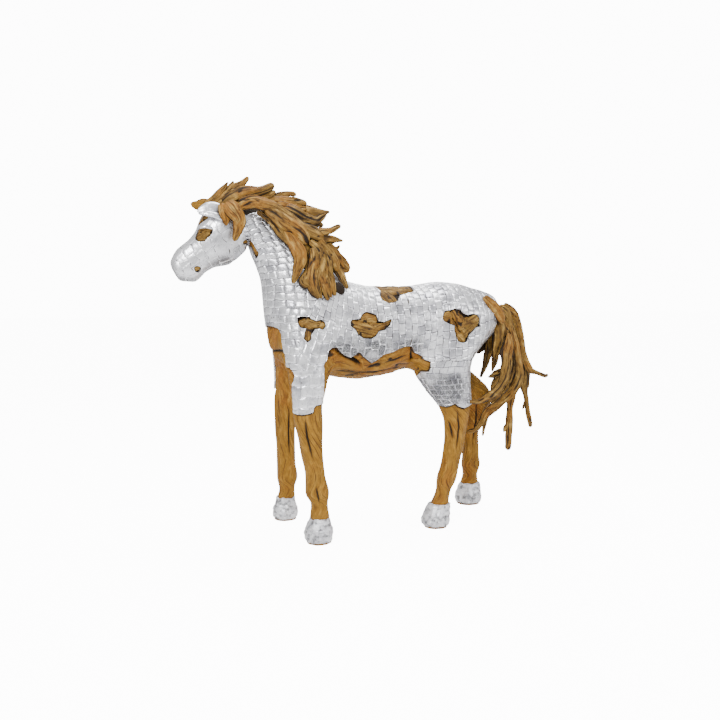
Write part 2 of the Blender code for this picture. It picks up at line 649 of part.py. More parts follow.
def root_rings(row, grow=0.0):
    """Rings of points along a piece of root, grown all round by a distance in metres."""
    *widths, path = row
    path = np.array(path, float)
    rings = int(RINGS_PER_POINT * (len(path) - 1)) + 1
    far = np.linspace(0, len(path) - 1, rings)
    spine = to_metres(smooth_path(path, far))
    forward = np.gradient(spine, axis=0)
    forward /= np.linalg.norm(forward, axis=1)[:, None]
    spine[0] -= forward[0] * grow
    spine[-1] += forward[-1] * grow
    wide = monotone(((0, widths[0]), (0.5, widths[1]), (1, widths[2])), far / far[-1])[:, 0]
    wide = wide * HAND / 2 + grow
    thick = (wide - grow) * ROOT_FLATNESS + grow
    side = FAR if path[:, 1].mean() > 0 else NEAR
    flank = np.cross(forward, (0.0, side, ROOT_LEAN))
    flank /= np.linalg.norm(flank, axis=1)[:, None]
    face = np.cross(flank, forward)
    turn = np.linspace(0, 2 * np.pi, ROOT_SIDES, endpoint=False)[None, :, None]
    return (
        spine[:, None]
        + flank[:, None] * wide[:, None, None] * np.cos(turn)
        + face[:, None] * thick[:, None, None] * np.sin(turn)
    )


def smooth_path(path, far):
    """A curve that passes through every point of a path."""
    before = np.vstack([2 * path[0] - path[1], path, 2 * path[-1] - path[-2]])
    k = np.clip(far.astype(int), 0, len(path) - 2)
    s = (far - k)[:, None]
    a, b, c, d = (before[k + i] for i in range(4))
    bend = (2 * a - 5 * b + 4 * c - d) * s**2
    twist = (3 * b - a - 3 * c + d) * s**3
    return 0.5 * (2 * b + (c - a) * s + bend + twist)


def near_bounds(one, two):
    """Whether the boxes around two arrays of places meet."""
    one, two = one.reshape(-1, 3), two.reshape(-1, 3)
    return (one.min(0) < two.max(0)).all() and (two.min(0) < one.max(0)).all()


def roots(pieces, envelope, parts, cutters):
    """Pieces of root, each trimmed clear of the figure and of the pieces before it."""
    laid = []
    for name, row, finish in pieces:
        thing = add(name, loft(root_rings(row)), parts, finish)
        cut(thing, envelope)
        grown = root_rings(row, PIECE_GAP)
        for other_rings, other in laid:
            if near_bounds(grown, other_rings):
                cut(thing, other)
        mesh = largest_piece(evaluated(thing))
        thing.modifiers.clear()
        thing.data = mesh
        mesh.name = name
        laid.append((grown, add(f"{name}_clearance", loft(grown), cutters)))


def carved_body(figure, parts, cutters, finish):
    """The wood: trunk, neck, head and legs in one, flat under the soles."""
    wood = add("carved_body", figure.copy(), parts, finish)
    front, rear, half_width = FLOOR_BOX
    outline = ((front, -half_width), (rear, -half_width), (rear, half_width), (front, half_width))
    cut(wood, add("floor_cut", prism(outline, 2, -FLOOR_DEPTH, 0.0), cutters))


def cladding(figure, parts, cutters, finish):
    """The metal over the wood, open along its hems and at its patches."""
    metal = add("metal_cladding", figure.copy(), parts, finish)
    plate(metal)
    corners_below = ((CUT_REAR, CUT_BELOW), (NEAR_HEM[0][0], CUT_BELOW))
    inside_box = (
        (CUT_FRONT, -INSIDE_HALF_WIDTH),
        (CUT_REAR, -INSIDE_HALF_WIDTH),
        (CUT_REAR, INSIDE_HALF_WIDTH),
        (CUT_FRONT, INSIDE_HALF_WIDTH),
    )
    shapes = {
        "near_hem": prism((*NEAR_HEM, *corners_below), 1, -CUT_SIDE, 0.0),
        "far_hem": prism((*FAR_HEM, *corners_below), 1, -HEM_CUTS_OVERLAP, CUT_SIDE),
        "between_legs": prism(inside_box, 2, CUT_BELOW, INSIDE_TOP),
        "chest": prism(CHEST, 0, CUT_FRONT, CHEST_DEPTH),
        "back": prism(BACK_PATCH, 2, BACK_CUT_BELOW, CUT_ABOVE),
    }
    for name, outline in NEAR_PATCHES.items():
        shapes[name] = prism(outline, 1, -CUT_SIDE, -PATCH_CUT_START)
    for name, outline in FAR_PATCHES.items():
        shapes[name] = prism(outline, 1, PATCH_CUT_START, CUT_SIDE)
    for name, mesh in shapes.items():
        cut(metal, add(f"{name}_cut", mesh, cutters))
    mesh = largest_piece(evaluated(metal))
    metal.modifiers.clear()
    metal.data = mesh


def hoof_caps(figure, parts, cutters, finish):
    """A metal cap round each hoof, with a rim of the wooden sole showing under it."""
    for name, (toe, heel, side) in HOOVES.items():
        cap = add(name, figure.copy(), parts, finish)
        plate(cap)
        inner, outer = sorted((side * HOOF_BOX_INSIDE, side * HOOF_BOX_OUTSIDE))
        outline = ((toe, inner), (heel, inner), (heel, outer), (toe, outer))
        box = prism(outline, 2, SOLE_RIM / HAND, HOOF_CAP_HEIGHT / HAND)
        cut(cap, add(f"{name}_box", box, cutters), "INTERSECT")


def main():
    """The whole horse: what is kept goes in one collection, and the cutters in another."""
    for thing in list(bpy.data.objects):
        bpy.data.objects.remove(thing)
    parts = bpy.data.collections.new("Root wood horse")
    cutters = bpy.data.collections.new("Cutters")
    bpy.context.scene.collection.children.link(parts)
    bpy.context.scene.collection.children.link(cutters)
    root_wood = material("root_wood", ROOT_BROWN, 0.6, 0.0)
    mane_wood = material("mane_wood", MANE_BROWN, 0.65, 0.0)
    sheet = material("sheet_metal", BRIGHT_METAL, 0.3, 1.0)

    figure = figure_mesh(cutters)
    carved_body(figure, parts, cutters, root_wood)
    cladding(figure, parts, cutters, sheet)
    hoof_caps(figure, parts, cutters, sheet)

    envelope = add("envelope", figure.copy(), cutters)
    swell(envelope, METAL_CLEARANCE + METAL_THICKNESS + PIECE_GAP)
    pieces = [("near_ear", NEAR_EAR, sheet), ("far_ear", FAR_EAR, root_wood)]
    pieces += [(f"mane_lock_{i:02d}", row, mane_wood) for i, row in enumerate(MANE, 1)]
    pieces += [(f"tail_root_{i:02d}", row, mane_wood) for i, row in enumerate(TAIL, 1)]
    roots(pieces, envelope, parts, cutters)


main()
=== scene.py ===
"""The looks of a life-size standing horse of root wood, partly clad in metal tiles.

The wood is worked out from the horse's own form: ribs from the tail to the lips and
four leg columns, softly joined. The metal is laid over it in courses of small hammered
plates, trimmed to the openings that leave the wood bare. The mane, the tail and the ears
are long pieces of root swept along paths. The tables are in hands, a fifteenth of the
height at the withers. The horse faces -X, its near (left) side is -Y, and it stands on
z = 0.
"""

import logging
from dataclasses import dataclass, field
from enum import Enum
from itertools import product

import bpy
import numpy as np
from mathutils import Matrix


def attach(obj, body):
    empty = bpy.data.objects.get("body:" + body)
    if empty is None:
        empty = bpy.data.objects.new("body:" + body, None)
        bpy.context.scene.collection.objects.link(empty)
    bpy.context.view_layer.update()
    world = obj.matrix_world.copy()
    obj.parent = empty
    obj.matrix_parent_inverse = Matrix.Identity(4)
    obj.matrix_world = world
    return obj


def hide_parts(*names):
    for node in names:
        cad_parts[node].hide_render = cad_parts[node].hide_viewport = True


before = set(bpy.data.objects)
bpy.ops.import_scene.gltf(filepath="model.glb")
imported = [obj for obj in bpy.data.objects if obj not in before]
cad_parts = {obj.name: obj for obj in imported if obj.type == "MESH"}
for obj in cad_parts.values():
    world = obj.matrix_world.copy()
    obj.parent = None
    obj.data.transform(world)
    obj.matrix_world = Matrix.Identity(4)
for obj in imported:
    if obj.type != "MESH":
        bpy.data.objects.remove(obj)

LOG = logging.getLogger("horse")
Array = np.ndarray
Arrays = tuple[Array, ...]
Values = dict[str, Array | float]
Table = tuple[tuple[float, ...], ...]
Material = bpy.types.Material
Socket = bpy.types.NodeSocket

HAND = 1.50 / 15
MIDDLE = 0.7
BLEND = 0.7
LEG_SQUARENESS = 2.2

# Odd numbers that scatter the corners of the noise's lattice
HASH_STEPS = (73856093, 19349663, 83492791)
HASH_SEED = 40503
HASH_MIX = 1274126177


class Side(Enum):
    """Which side of the horse something is on, as the sign of its y."""

    NEAR = -1
    FAR = 1
    BOTH = 0


class Flat(Enum):
    """The two axes in which an outline is drawn."""

    SIDE = (0, 2)
    FRONT = (1, 2)
    TOP = (0, 1)


# Ribs from the tail head to the lips: crest x, z, keel x, z, half width, squareness
RIBS: Table = (
    (8.62, 13.55, 8.62, 13.25, 0.12, 2.0), (8.52, 13.98, 8.42, 12.10, 0.85, 2.1),
    (8.20, 14.22, 8.05, 11.50, 1.35, 2.1), (7.60, 14.42, 7.45, 11.00, 1.85, 2.15),
    (6.70, 14.65, 6.60, 10.50, 2.30, 2.2), (5.60, 14.90, 5.50, 10.30, 2.55, 2.2),
    (4.50, 14.97, 4.50, 10.15, 2.62, 2.2), (2.30, 14.70, 2.30, 9.68, 2.72, 2.1),
    (0.20, 14.70, 0.15, 9.23, 2.75, 2.1), (-0.80, 14.85, -0.95, 9.15, 2.62, 2.15),
    (-1.60, 15.08, -2.20, 9.30, 2.45, 2.2), (-2.05, 15.35, -3.60, 9.60, 2.30, 2.2),
    (-2.45, 15.75, -5.00, 10.10, 2.15, 2.2), (-2.90, 16.30, -5.86, 10.95, 2.00, 2.15),
    (-3.95, 17.45, -6.24, 12.90, 1.55, 2.1), (-5.20, 18.40, -6.42, 14.85, 1.08, 2.05),
    (-5.90, 18.80, -6.65, 15.70, 0.92, 2.0), (-6.70, 19.15, -6.95, 16.45, 0.82, 2.0),
    (-7.50, 19.45, -7.20, 17.10, 0.78, 2.0), (-8.20, 19.55, -7.30, 16.80, 0.85, 2.1),
    (-8.90, 19.35, -7.65, 16.42, 0.98, 2.2), (-9.50, 18.90, -8.10, 16.08, 1.03, 2.2),
    (-9.86, 18.35, -8.60, 15.92, 0.98, 2.2), (-10.10, 17.75, -9.10, 15.82, 0.86, 2.2),
    (-10.46, 17.28, -9.60, 15.56, 0.72, 2.2), (-11.16, 16.66, -10.28, 15.00, 0.60, 2.2),
    (-11.48, 16.02, -10.94, 15.04, 0.50, 2.1), (-11.42, 15.74, -11.18, 15.26, 0.30, 2.0),
)

# Leg columns from the sole up: height, x front, x rear, y, half width
NEAR_FORE: Table = (
    (-0.3, -4.36, -3.04, 2.40, 0.66), (0.6, -4.50, -2.99, 2.40, 0.74),
    (1.5, -4.18, -3.18, 2.38, 0.52), (2.2, -4.12, -3.26, 2.35, 0.45),
    (2.92, -4.44, -3.14, 2.32, 0.56), (3.9, -4.42, -3.33, 2.26, 0.50),
    (5.8, -4.73, -3.42, 2.12, 0.62), (7.5, -5.15, -3.40, 2.00, 0.75),
    (9.0, -5.28, -3.10, 1.85, 0.88), (11.0, -5.50, -2.80, 1.55, 1.05),
    (13.2, -5.20, -2.70, 1.15, 0.95),
)
FAR_FORE: Table = (
    (-0.3, -5.32, -4.04, 2.40, 0.66), (0.5, -5.42, -3.98, 2.40, 0.72),
    (1.3, -5.22, -4.12, 2.35, 0.50), (2.0, -5.09, -4.16, 2.30, 0.45),
    (2.75, -5.20, -3.96, 2.26, 0.56), (3.9, -5.20, -4.10, 2.20, 0.50),
    (5.6, -5.34, -4.12, 2.12, 0.60), (7.4, -5.40, -3.90, 2.00, 0.72),
    (9.0, -5.36, -3.60, 1.80, 0.85), (11.0, -5.50, -3.20, 1.50, 1.00),
    (13.2, -5.20, -2.90, 1.15, 0.95),
)
NEAR_HIND: Table = (
    (-0.3, 3.20, 4.50, 1.87, 0.66), (0.4, 3.04, 4.66, 1.89, 0.76),
    (1.5, 3.52, 4.70, 1.90, 0.53), (2.2, 3.84, 4.88, 1.90, 0.47),
    (3.0, 3.96, 5.22, 1.89, 0.56), (3.6, 4.13, 5.35, 1.88, 0.52),
    (4.65, 4.30, 5.60, 1.86, 0.53), (5.6, 4.42, 5.80, 1.84, 0.58),
    (6.5, 4.39, 6.02, 1.82, 0.68), (7.5, 4.02, 6.12, 1.78, 0.82),
    (8.5, 3.20, 6.07, 1.70, 0.95), (9.5, 2.62, 6.10, 1.55, 1.10),
    (10.2, 2.80, 6.22, 1.50, 1.20), (11.0, 3.50, 6.60, 1.45, 1.30),
    (13.0, 4.60, 7.60, 1.10, 1.15),
)
FAR_HIND: Table = (
    (-0.3, 7.26, 8.64, 1.85, 0.66), (0.5, 7.13, 8.80, 1.85, 0.76),
    (1.4, 7.42, 8.68, 1.85, 0.52), (2.0, 7.58, 8.58, 1.85, 0.48),
    (2.75, 7.50, 8.82, 1.85, 0.56), (3.3, 7.52, 8.66, 1.85, 0.51),
    (4.8, 7.50, 8.60, 1.84, 0.53), (6.2, 7.42, 9.00, 1.82, 0.60),
    (7.2, 7.10, 9.50, 1.78, 0.71), (7.8, 6.75, 9.28, 1.75, 0.80),
    (8.6, 5.80, 8.48, 1.68, 0.95), (9.5, 4.90, 7.40, 1.60, 1.10),
    (10.2, 4.40, 6.70, 1.50, 1.20), (11.0, 4.30, 6.80, 1.45, 1.30),
    (13.0, 4.60, 7.60, 1.10, 1.15),
)

# Planes on which the neck's plates are laid: number, middle x, z, and tip in degrees
NECK_PLANES: Table = (
    (0, -4.2, 9.9, 0), (1, -4.4, 11.5, 0), (2, -4.6, 13.0, 0), (3, -4.6, 14.4, 2),
    (4, -4.8, 15.4, 5), (5, -5.2, 16.3, 8), (6, -5.8, 17.2, 12), (7, -6.4, 18.0, 17),
    (8, -6.9, 18.9, 22),
)

# Where the metal of the neck meets that of the body and the head
NECK_TRACT: Table = (
    (-2.2, 16.9), (-2.6, 15.6), (-3.6, 14.2), (-4.1, 13.2), (-4.8, 11.6), (-5.0, 9.0),
    (-9.0, 9.0), (-9.0, 15.4), (-7.5, 16.7), (-7.4, 17.2), (-7.6, 17.8), (-7.5, 20.0),
    (-2.2, 20.0),
)

# Openings in the metal
NEAR_HEM: Table = (
    (-7.5, 7.6), (-5.14, 7.61), (-4.95, 7.54), (-4.69, 7.53), (-4.34, 7.58), (-4.11, 7.67),
    (-4.07, 7.92), (-3.91, 8.04), (-3.5, 8.06), (-3.44, 9.2), (-3.44, 10.31), (-3.23, 10.59),
    (-3.15, 11.02), (-2.91, 11.23), (-2.59, 11.25), (-2.42, 11.03), (-2.11, 10.79),
    (-1.73, 10.64), (-1.46, 10.82), (-1.33, 10.97), (-1.17, 10.9), (-1.08, 10.74),
    (-0.75, 10.5), (-0.48, 10.3), (-0.21, 10.45), (-0.02, 10.64), (0.27, 10.83),
    (0.72, 10.93), (1.17, 11.15), (1.57, 11.24), (1.91, 11.23), (2.11, 10.88),
    (2.55, 10.71), (2.81, 10.54), (2.89, 10.39), (3.23, 10.24), (3.22, 9.87),
    (3.11, 9.64), (2.75, 9.63), (2.64, 9.39), (2.77, 8.99), (3.16, 8.38), (3.42, 8.06),
    (3.77, 7.57), (3.91, 7.56), (4.3, 7.49), (4.74, 7.71), (4.9, 7.55), (5.34, 7.37),
    (5.86, 7.53), (9.5, 7.8), (9.5, -2.0), (-7.5, -2.0),
)
FAR_HEM: Table = (
    (-7.5, 8.6), (-5.1, 8.4), (-4.8, 8.1), (-4.4, 8.0), (-4.0, 8.3), (-3.75, 8.8),
    (-3.6, 10.3), (-3.3, 10.9), (-2.9, 11.1), (-2.4, 10.8), (-1.9, 10.6), (-1.4, 10.7),
    (-0.9, 11.0), (-0.3, 10.7), (0.2, 10.5), (0.8, 10.75), (1.4, 11.1), (2.0, 11.25),
    (2.6, 11.2), (3.1, 10.7), (3.4, 10.5), (4.2, 10.1), (4.9, 9.4), (5.5, 8.9), (6.0, 8.3),
    (6.5, 7.9), (7.0, 7.7), (7.5, 7.85), (7.9, 8.1), (11, 7.9), (11, -2.0), (-7.5, -2.0),
)
CHEST: Table = (
    (-0.26, 12.45), (-0.94, 12.43), (-1.35, 12.33), (-1.6, 12.02), (-1.65, 11.62),
    (-1.72, 11.27), (-1.87, 10.81), (-1.9, 10.37), (-1.96, 10.18), (-2.22, 10.15),
    (-2.39, 9.91), (-2.44, 9.73), (-2.39, 9.41), (-2.3, 9.25), (-2.23, 8.88),
    (-2.31, 8.17), (-2.23, 7.0), (2.0, 7.0), (1.95, 10.4), (1.8, 10.9), (1.6, 11.4),
    (1.3, 11.9), (0.9, 12.25), (0.3, 12.4),
)
SHOULDER: Table = (
    (-4.84, 12.94), (-4.63, 13.03), (-4.14, 12.98), (-4.08, 12.87), (-3.79, 12.76),
    (-3.5, 12.83), (-3.31, 12.68), (-3.25, 12.43), (-3.44, 12.25), (-3.63, 12.33),
    (-3.89, 12.3), (-4.12, 11.98), (-4.13, 11.73), (-4.35, 11.56), (-4.55, 11.77),
    (-4.47, 12.13), (-4.39, 12.34), (-4.67, 12.38), (-4.82, 12.62),
)
BARREL: Table = (
    (-1.83, 12.7), (-1.71, 12.81), (-1.28, 12.84), (-1.1, 13.13), (-0.87, 13.24),
    (-0.5, 13.16), (-0.29, 13.05), (-0.21, 12.73), (0.13, 12.66), (0.65, 12.86),
    (0.5, 12.5), (0.18, 12.21), (-0.19, 12.14), (-0.38, 11.85), (-0.63, 11.71),
    (-1.08, 11.75), (-1.37, 11.94), (-1.58, 12.27), (-1.8, 12.45),
)
HAUNCH: Table = (
    (3.8, 12.9), (3.98, 13.25), (4.3, 13.29), (4.71, 13.4), (5.1, 13.28), (5.16, 13.13),
    (5.48, 13.02), (5.81, 13.09), (6.15, 13.02), (6.3, 12.8), (6.27, 12.51), (6.39, 12.29),
    (6.08, 12.29), (5.75, 12.01), (5.51, 11.79), (5.38, 11.43), (5.11, 11.35), (4.81, 11.44),
    (4.7, 11.73), (4.58, 12.1), (4.58, 12.39), (4.18, 12.53), (3.87, 12.68),
)
THROAT: Table = (
    (-7.67, 17.02), (-7.6, 17.27), (-7.38, 17.36), (-7.12, 17.34), (-6.96, 17.09),
    (-6.79, 16.79), (-6.67, 16.59), (-6.7, 16.4), (-6.78, 16.25), (-6.95, 16.6),
    (-7.1, 16.95), (-7.35, 17.1),
)
EYE: Table = (
    (-10.19, 17.27), (-10.12, 17.47), (-10.05, 17.62), (-10.04, 17.77), (-9.88, 17.88),
    (-9.57, 17.9), (-9.26, 17.9), (-9.22, 17.77), (-9.3, 17.6), (-9.39, 17.46),
    (-9.54, 17.36), (-9.68, 17.16), (-9.87, 17.14), (-10.03, 17.14),
)
MOUTH: Table = (
    (-10.31, 15.65), (-10.29, 15.79), (-10.1, 15.83), (-9.93, 15.78), (-9.94, 15.6),
    (-10.07, 15.47), (-10.23, 15.49),
)
FOREHEAD: Table = (
    (-9.47, 18.66), (-9.25, 18.6), (-9.3, 18.52), (-9.54, 18.35), (-9.83, 18.13),
    (-9.99, 17.97), (-10.3, 18.05), (-10.1, 18.5), (-9.8, 18.75),
)
BACK: Table = (
    (2.54, -1.2), (2.49, -1.43), (1.41, -1.79), (1.21, -2.1), (0.86, -2.17), (0.54, -2.18),
    (0.27, -2.05), (0.21, -1.77), (0.35, -1.38), (0.3, -0.7), (0.5, 0.3), (1.3, 0.8),
    (2.1, 0.6), (2.6, -0.5),
)
FAR_SHOULDER: Table = (
    (-4.6, 12.7), (-4.4, 13.1), (-4.1, 13.3), (-3.4, 13.1), (-3.1, 12.5), (-3.3, 12.2),
    (-3.7, 12.2), (-3.9, 11.7), (-4.4, 11.9), (-4.4, 12.3),
)
FAR_BARREL: Table = (
    (-0.9, 12.2), (-0.6, 12.7), (-0.3, 12.9), (0.5, 13.0), (1.0, 12.85), (1.4, 12.7),
    (1.3, 12.2), (0.6, 11.9), (0.2, 11.85), (-0.2, 11.7), (-0.6, 11.8),
)
FAR_HAUNCH: Table = (
    (4.6, 12.4), (4.8, 12.9), (5.1, 13.2), (5.9, 13.3), (6.3, 13.1), (6.6, 12.8), (6.3, 12.1),
    (5.9, 11.9), (5.5, 11.6), (5.0, 11.8),
)
FAR_EYE: Table = (
    (-10.15, 17.25), (-10.0, 17.7), (-9.7, 17.85), (-9.4, 17.85), (-9.35, 17.5), (-9.6, 17.3),
    (-9.75, 17.15),
)


def smooth_step(value: Array, low: float, high: float) -> Array:
    """A soft rise from 0 at low to 1 at high: 3 t squared less 2 t cubed of the share t."""
    share = np.clip((value - low) / (high - low), 0.0, 1.0)
    return share * share * (3 - 2 * share)


def lattice_noise(places: Array, seed: int) -> Array:
    """Smooth chance values from -1 to 1.

    Each whole-numbered corner gets a value from a hash of its three numbers, and the
    eight corners round a place are blended by 3 t squared less 2 t cubed.

    Args:
        places: Places in lattice steps, the last axis being x, y, z.
        seed: Which of many such fields.

    Returns:
        One value for each place.
    """
    whole = np.floor(places).astype(np.int64)
    part = places - whole
    part = part * part * (3 - 2 * part)
    total = np.zeros(places.shape[:-1])
    for corner in product((0, 1), repeat=3):
        mixed = np.bitwise_xor.reduce((whole + corner) * HASH_STEPS, axis=-1) ^ seed * HASH_SEED
        mixed = (mixed ^ (mixed >> 13)) * HASH_MIX & 0xFFFFFFFF
        value = ((mixed ^ (mixed >> 16)) & 0xFFFF) / 32767.5 - 1
        total += value * np.prod(np.where(corner, part, 1 - part), axis=-1)
    return total


def layered_noise(places: Array, seed: int, layers: int = 3) -> Array:
    """Noise at rising fineness, each layer twice as fine and half as strong as the last."""
    return sum(lattice_noise(places * 2**k, seed + 17 * k) / 2**k for k in range(layers))


def monotone(rows: Table | Array, at: Array) -> Array:
    """Rows read at fractional places along a smooth curve that never overshoots them.

    Between two rows the value is a cubic whose slopes at the rows are harmonic means of
    the slopes on either side, or nothing where these differ in sign.

    Args:
        rows: A place, then its values, a row each, with rising places.
        at: The places to read.

    Returns:
        The values, one row for each place read.
    """
    rows = np.asarray(rows, float)
    x, y = rows[:, 0], rows[:, 1:]
    step = np.diff(x)[:, None]
    slope = np.diff(y, axis=0) / step
    ahead, behind = 2 * step[1:] + step[:-1], step[1:] + 2 * step[:-1]
    same_way = slope[:-1] * slope[1:] > 0
    safe = np.where(same_way, slope[:-1] * slope[1:], 1.0)
    mean = (ahead + behind) * safe / (ahead * slope[1:] + behind * slope[:-1] + (~same_way))
    tangent = np.vstack([slope[:1], np.where(same_way, mean, 0.0), slope[-1:]])
    at = np.clip(at, x[0], x[-1])
    k = np.clip(np.searchsorted(x, at) - 1, 0, len(step) - 1)
    s = ((at - x[k]) / step[k, 0])[:, None]
    return (
        y[k] * (1 + 2 * s) * (1 - s) ** 2
        + step[k] * tangent[k] * s * (1 - s) ** 2
        + y[k + 1] * s * s * (3 - 2 * s)
        + step[k] * tangent[k + 1] * s * s * (s - 1)
    )


def smooth_path(path: Array, far: Array) -> Array:
    """A curve through every point of a path: cubics whose slopes join the neighbours.

    Args:
        path: The points.
        far: Fractional numbers of points to read.

    Returns:
        The places read.
    """
    before = np.vstack([2 * path[0] - path[1], path, 2 * path[-1] - path[-2]])
    k = np.clip(far.astype(int), 0, len(path) - 2)
    s = (far - k)[..., None]
    a, b, c, d = (before[k + i] for i in range(4))
    bend = (2 * a - 5 * b + 4 * c - d) * s**2
    twist = (3 * b - a - 3 * c + d) * s**3
    return 0.5 * (2 * b + (c - a) * s + bend + twist)


def summed(steps: Array) -> Array:
    """The running total of steps along the last axis, from 0."""
    return np.concatenate([0 * steps[..., :1], np.cumsum(steps, axis=-1)], axis=-1)


def run_along(points: Array) -> Array:
    """How far along its line each point lies: the running total of the gaps."""
    return summed(np.linalg.norm(np.diff(points, axis=-2), axis=-1))


def to_metres(points: Array) -> Array:
    """World places of points given in hands, the last axis being x, y, z."""
    return (np.asarray(points, float) - (MIDDLE, 0.0, 0.0)) * HAND


def squared_off(turn: Array, square: Array | float) -> Array:
    """How far a rounded square reaches at an angle, a circle's reach being 1."""
    return (np.abs(np.cos(turn)) ** square + np.abs(np.sin(turn)) ** square) ** (-1 / square)


def quad_corners(grids: Array) -> Array:
    """The four corners of each quad of grids, in turn, on a new axis after the columns."""
    return np.stack([grids[:, :-1, :-1], grids[:, :-1, 1:], grids[:, 1:, 1:], grids[:, 1:, :-1]], axis=3)


def add_object(name: str, data: bpy.types.ID) -> bpy.types.Object:
    """Puts a mesh, a light or a camera into the scene.

    Args:
        name: What the object is called.
        data: What it shows.

    Returns:
        The object.
    """
    made = bpy.data.objects.new(name, data)
    bpy.context.scene.collection.objects.link(made)
    return made


def outline_distance(places: Array, outline: Table, beyond: float = 1.2) -> Array:
    """How far places lie outside a closed outline, negative inside it.

    It is the least distance to any side, and its sign comes from counting the sides that
    a line towards +x crosses. Places well off the outline's box get the value beyond.

    Args:
        places: Places in the outline's own two axes, in hands.
        outline: The corners, in hands.
        beyond: The value far outside, in hands.

    Returns:
        One distance a place, in hands.
    """
    flat, corners = places.reshape(-1, 2), np.asarray(outline, float)
    low, high = corners.min(0) - beyond, corners.max(0) + beyond
    close = np.flatnonzero(((flat > low) & (flat < high)).all(axis=1))
    near = flat[close]
    least = np.full(len(near), np.inf)
    inside = np.zeros(len(near), bool)
    for one, two in zip(corners, np.roll(corners, -1, axis=0)):
        along = two - one
        share = np.clip(((near - one) @ along) / (along @ along), 0, 1)
        least = np.minimum(least, ((near - one - share[:, None] * along) ** 2).sum(axis=1))
        spans = (one[1] > near[:, 1]) != (two[1] > near[:, 1])
        if along[1] != 0:
            crossing = one[0] + (near[:, 1] - one[1]) * along[0] / along[1]
            inside ^= spans & (near[:, 0] < crossing)
    result = np.full(len(flat), beyond)
    result[close] = np.minimum(np.sqrt(least), beyond) * np.where(inside, -1, 1)
    return result.reshape(places.shape[:-1])


def stroke_distance(places: Array, path: Table) -> tuple[Array, Array]:
    """The distance of places to an open path: the least of those to its straight parts.

    Args:
        places: Places in the path's own two axes.
        path: Its points.

    Returns:
        The distance, and the share of the path at which the nearest point lies.
    """
    corners = np.asarray(path, float)
    least, along_it = np.full(places.shape[:-1], np.inf), np.zeros(places.shape[:-1])
    for k, (one, two) in enumerate(zip(corners, corners[1:])):
        along = two - one
        share = np.clip(((places - one) @ along) / (along @ along), 0, 1)
        reach = ((places - one - share[..., None] * along) ** 2).sum(axis=-1)
        nearer = reach < least
        least = np.where(nearer, reach, least)
        along_it = np.where(nearer, (k + share) / (len(corners) - 1), along_it)
    return np.sqrt(least), along_it


